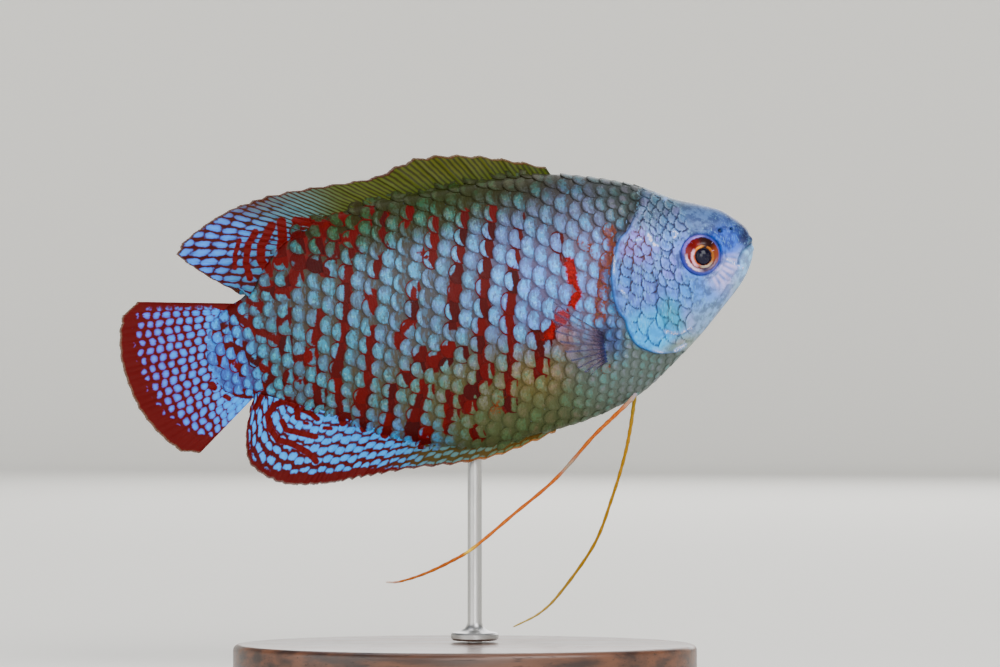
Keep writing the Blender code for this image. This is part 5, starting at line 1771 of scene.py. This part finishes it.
class GOURAMI_OT_eyes(bpy.types.Operator):
    """Add both eyes: an iris with a round hollow, and the dark lens that fills it"""
    bl_idname = "gourami.eyes"
    bl_label = "Eyes"

    def execute(self, context):
        iris_material, pupil_material = eye_look(), pupil_look()
        for word, side in SIDES:
            centre = flank_point(*EYE_PLACE, -EYE_SUNK, side)
            axes = np.array([
                [math.cos(EYE_FORWARD), -side * math.sin(EYE_FORWARD), 0.0],
                [0.0, 0.0, 1.0],
                [math.sin(EYE_FORWARD), side * math.cos(EYE_FORWARD), 0.0]])

            def spread(turn, share, radius, depth, stretch=1.0):
                angle = turn * 2 * math.pi
                out = radius * np.sin(share * math.pi)
                return (out * np.cos(angle), out * np.sin(angle) * stretch,
                        depth * np.cos(share * math.pi))

            def in_iris(turn, share):
                f, u, d = spread(turn, share ** IRIS_CROWDING, EYE_RADIUS, EYE_HALF_DEPTH)
                return f, u, d, np.hypot(f - PUPIL_PLACE[0], u - PUPIL_PLACE[1])

            def iris_place(turn, share):
                f, u, d, inner = in_iris(turn, share)
                relief = 0.05 * swell(inner, 1.28, 0.12) + 0.06 * swell(np.hypot(f, u), 2.22, 0.14)
                d = d + (relief - 0.32 * ease(inner, 1.20, 1.00)) * (d > 0)
                return centre + np.stack([f, u, d], -1) @ axes

            iris, turn, share = closed_form("iris_" + word, 72, 72, iris_place)
            f, u, _, inner = in_iris(turn, share)
            point_values(iris, gaze=np.stack([f, u, inner], -1))
            finish_piece(iris, iris_material, ("eye_" + word,))

            def pupil_place(turn, share):
                f, u, d = spread(turn, share, PUPIL_RADIUS, PUPIL_HALF_DEPTH, PUPIL_STRETCH)
                f, u = f + PUPIL_PLACE[0], u + PUPIL_PLACE[1]
                return centre + np.stack([f, u, d + PUPIL_FORWARD], -1) @ axes

            pupil, _, _ = closed_form("pupil_" + word, 40, 24, pupil_place)
            finish_piece(pupil, pupil_material)
        return {"FINISHED"}


class GOURAMI_OT_stand(bpy.types.Operator):
    """Add the oval wooden base and the steel rod that carries the fish"""
    bl_idname = "gourami.stand"
    bl_label = "Stand"

    def execute(self, context):
        sizes = context.scene.gourami_stand
        base = start("stand_base_wood", bpy.ops.mesh.primitive_cylinder_add, vertices=128,
                     radius=0.5, depth=sizes.base_thickness,
                     location=(0, 0, sizes.base_thickness / 2))
        base.scale = (sizes.base_length, sizes.base_width, 1.0)
        bpy.ops.object.transform_apply(location=True, rotation=True, scale=True)
        self.round_rim(base, sizes.base_thickness, sizes.rim_round)
        self.round_rim(base, 0.0, sizes.rim_round / 2)
        finish_piece(base, wood_look(), ("stand_base",), sharp=math.radians(40))

        foot = sizes.base_thickness + GAP * MM
        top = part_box("stand_rod")[1].z + 0.9 * MM
        x, y = sizes.rod_x, sizes.rod_y
        sunk = sizes.base_thickness - 2.0 * MM
        rod_radius, collar = sizes.rod_radius, sizes.collar_radius
        profile = [(0.0, sunk), (rod_radius, sunk), (rod_radius, foot),
                   (collar - 0.25 * MM, foot), (collar, foot + 0.25 * MM),
                   (collar, foot + 0.75 * MM), (collar - 0.2 * MM, foot + 0.98 * MM),
                   (collar * 0.62, foot + 1.15 * MM), (collar * 0.42, foot + 1.5 * MM),
                   (rod_radius * 1.12, foot + 1.9 * MM), (rod_radius, foot + 2.3 * MM),
                   (rod_radius, top), (0.0, top)]
        rod = start("stand_rod_steel", bpy.ops.mesh.primitive_plane_add, size=1.0)
        rod.data.clear_geometry()
        points = [(x + r, y, z) for r, z in profile]
        rod.data.from_pydata(points, [(k, k + 1) for k in range(len(points) - 1)], [])
        edit(rod, lambda: bpy.ops.mesh.spin(steps=48, angle=2 * math.pi, center=(x, y, 0),
                                            axis=(0, 0, 1)),
             lambda: bpy.ops.mesh.select_all(action="SELECT"),
             lambda: bpy.ops.mesh.remove_doubles(threshold=1e-6),
             lambda: bpy.ops.mesh.normals_make_consistent(inside=False))
        finish_piece(rod, steel_look(), ("stand_rod",), sharp=math.radians(35))
        return {"FINISHED"}

    def round_rim(self, obj, height, size):
        """Bevel the rim of a flat end."""
        bpy.context.view_layer.objects.active = obj
        bpy.ops.object.mode_set(mode="EDIT")
        bpy.ops.mesh.select_mode(type="FACE")
        bpy.ops.mesh.select_all(action="DESELECT")
        bpy.ops.object.mode_set(mode="OBJECT")
        for face in obj.data.polygons:
            face.select = abs(face.normal.z) > 0.9 and abs(face.center.z - height) < 1e-5
        bpy.ops.object.mode_set(mode="EDIT")
        bpy.ops.mesh.region_to_loop()
        bpy.ops.mesh.bevel(offset=size, segments=5, profile=0.5, affect="EDGES")
        bpy.ops.mesh.select_mode(type="VERT")
        bpy.ops.object.mode_set(mode="OBJECT")


class GOURAMI_OT_stage(bpy.types.Operator):
    """Add the pale floor that curves up all round, the soft lights and the camera"""
    bl_idname = "gourami.stage"
    bl_label = "Stage"

    def execute(self, context):
        stage = context.scene.gourami_stage
        obj, column, row = flat_form("stage_bowl", FLOOR_CELLS + 1, FLOOR_CELLS + 1)
        side, depth = 2 * column / FLOOR_CELLS - 1, 2 * row / FLOOR_CELLS - 1
        turn = np.arctan2(depth, side)
        quarter = FLOOR_BEND * math.pi / 2
        run = np.maximum(np.abs(side), np.abs(depth)) * (FLOOR_FLAT + quarter + FLOOR_RISE)
        bend = np.clip((run - FLOOR_FLAT) / FLOOR_BEND, 0, math.pi / 2)
        out = np.minimum(run, FLOOR_FLAT) + FLOOR_BEND * np.sin(bend)
        z = FLOOR_BEND * (1 - np.cos(bend)) + np.maximum(run - FLOOR_FLAT - quarter, 0)
        points = np.stack([out * np.cos(turn), out * np.sin(turn), z], -1)
        obj.data.vertices.foreach_set("co", points.astype(np.float32).ravel())
        obj.data.update()
        point_values(obj, far=ease(out, 0.4, 1.4))
        obj.data.materials.append(stage_look())
        obj.data.shade_smooth()

        for name, (place, size, power, times) in LIGHTS.items():
            self.light(name, place, size, getattr(stage, power) * times)
        world = bpy.data.worlds.new("stage_air")
        world.use_nodes = True
        air = world.node_tree.nodes["Background"]
        air.inputs["Color"].default_value = (0.9, 0.95, 1.0, 1.0)
        air.inputs["Strength"].default_value = stage.air_strength
        context.scene.world = world

        deselect()
        bpy.ops.object.camera_add(
            location=(CAMERA_ALONG, -stage.camera_distance, CAMERA_HEIGHT),
            rotation=(math.radians(90), 0, 0))
        camera = context.object
        camera.name = "camera"
        camera.data.sensor_width = 36.0
        camera.data.lens = camera.data.sensor_width * stage.camera_distance / VIEW_WIDTH
        camera.data.clip_start = 0.01
        context.scene.camera = camera
        return {"FINISHED"}

    def light(self, name, place, size, power):
        """Add a square soft light that faces the fish."""
        aim = Vector((0.0, 0.0, AIM_HEIGHT)) - Vector(place)
        bpy.ops.object.light_add(type="AREA", location=place,
                                 rotation=aim.to_track_quat("-Z", "Y").to_euler())
        lamp = bpy.context.object
        lamp.name = name
        lamp.data.size = size
        lamp.data.energy = power


def length(name, description, default):
    """A setting in metres that can't be negative."""
    return FloatProperty(name=name, description=description, default=default, min=0.0,
                         subtype="DISTANCE", unit="LENGTH", precision=5)


def spot_on_base(name, description, default):
    """A setting in metres to either side of the base's middle."""
    return FloatProperty(name=name, description=description, default=default,
                         subtype="DISTANCE", unit="LENGTH", precision=5)


def watts(name, description, default):
    """A setting in watts."""
    return FloatProperty(name=name, description=description, default=default, min=0.0,
                         subtype="POWER", unit="POWER")


def tone(name, description, colour):
    """A colour setting, from 0 to 255 values."""
    return FloatVectorProperty(name=name, description=description, subtype="COLOR", size=3,
                               min=0.0, max=1.0, default=tuple(float(c) for c in linear(colour)))


class GouramiPose(bpy.types.PropertyGroup):
    nose_up: FloatProperty(name="Nose Up", description="How far the snout is tilted up",
                           default=math.radians(12.0), subtype="ANGLE", unit="ROTATION")
    middle_x: spot_on_base("Middle Along", "Place of the fish over the base", -1.9 * MM)
    middle_height: length("Middle Height", "Height of the fish's middle over the floor",
                          46.25 * MM)


class GouramiSkin(bpy.types.PropertyGroup):
    mark_red: tone("Mark Red", "Colour of the red bars and blots", (90, 2, 0))


class GouramiFins(bpy.types.PropertyGroup):
    membrane_half: length("Membrane Half", "Half thickness of the membrane", 0.10 * MM)
    ray_half: length("Ray Half", "Half thickness of a ray at its root", 0.26 * MM)
    dorsal_rays: IntProperty(name="Dorsal Rays", description="Rays of the back fin", default=27)
    anal_rays: IntProperty(name="Anal Rays", description="Rays of the belly fin", default=30)
    tail_rays: IntProperty(name="Tail Rays", description="Rays of the tail fin", default=14)
    pectoral_rays: IntProperty(name="Pectoral Rays", description="Rays of a breast fin",
                               default=10)


class GouramiStand(bpy.types.PropertyGroup):
    base_length: length("Base Length", "Length of the oval base", 58 * MM)
    base_width: length("Base Width", "Width of the oval base", 36 * MM)
    base_thickness: length("Base Thickness", "Thickness of the base", 4 * MM)
    rim_round: length("Rim Round", "Rounding of the base's upper rim", 0.8 * MM)
    rod_radius: length("Rod Radius", "Radius of the rod", 0.9 * MM)
    rod_x: spot_on_base("Rod Along", "Place of the rod along the base", 1.2 * MM)
    rod_y: spot_on_base("Rod Across", "Place of the rod across the base", 2.75 * MM)
    collar_radius: length("Collar Radius", "Radius of the rod's collar", 3 * MM)
    wood_dark: tone("Wood Dark", "Darker colour of the wood's grain", (46, 26, 18))
    wood_light: tone("Wood Light", "Lighter colour of the wood's grain", (104, 62, 38))


class GouramiStage(bpy.types.PropertyGroup):
    paper_colour: tone("Paper Colour", "Colour of floor and backdrop", (238, 236, 230))
    camera_distance: length("Camera Distance", "Distance of the camera from the fish", 0.6)
    key_watts: watts("Key Light", "Power of the main light", 4.6)
    fill_watts: watts("Fill Light", "Power of the fill light; the back light has twice that", 1.9)
    front_watts: watts("Front Light", "Power of the light by the camera", 1.6)
    top_watts: watts("Top Light", "Power of the light from above", 2.6)
    air_strength: FloatProperty(name="Air", description="Strength of the even light all round",
                                default=0.22, min=0.0)


GROUPS = (
    ("gourami_pose", GouramiPose),
    ("gourami_skin", GouramiSkin),
    ("gourami_fins", GouramiFins),
    ("gourami_stand", GouramiStand),
    ("gourami_stage", GouramiStage),
)
OPERATORS = (
    GOURAMI_OT_body_skin,
    GOURAMI_OT_body_scales,
    GOURAMI_OT_dorsal_fin,
    GOURAMI_OT_anal_fin,
    GOURAMI_OT_tail_fin,
    GOURAMI_OT_pectoral_fins,
    GOURAMI_OT_pelvic_feelers,
    GOURAMI_OT_eyes,
    GOURAMI_OT_stand,
    GOURAMI_OT_stage,
)


class GOURAMI_PT_pieces(bpy.types.Panel):
    """Lists the sizes and the pieces of the fish and its stand"""
    bl_idname = "GOURAMI_PT_pieces"
    bl_label = "Dwarf Gourami"
    bl_space_type = "VIEW_3D"
    bl_region_type = "UI"
    bl_category = "Gourami"

    def draw(self, context):
        layout = self.layout
        for name, group in GROUPS:
            box = layout.box()
            settings = getattr(context.scene, name)
            for key in group.__annotations__:
                box.prop(settings, key)
        for operator in OPERATORS:
            layout.operator(operator.bl_idname)


def register():
    for _, group in GROUPS:
        bpy.utils.register_class(group)
    for operator in OPERATORS:
        bpy.utils.register_class(operator)
    bpy.utils.register_class(GOURAMI_PT_pieces)
    for name, group in GROUPS:
        setattr(bpy.types.Scene, name, PointerProperty(type=group))


def unregister():
    for name, _ in GROUPS:
        delattr(bpy.types.Scene, name)
    bpy.utils.unregister_class(GOURAMI_PT_pieces)
    for operator in reversed(OPERATORS):
        bpy.utils.unregister_class(operator)
    for _, group in reversed(GROUPS):
        bpy.utils.unregister_class(group)


def main():
    register()
    for operator in OPERATORS:
        group, name = operator.bl_idname.split(".")
        getattr(getattr(bpy.ops, group), name)()


if __name__ == "__main__":
    main()
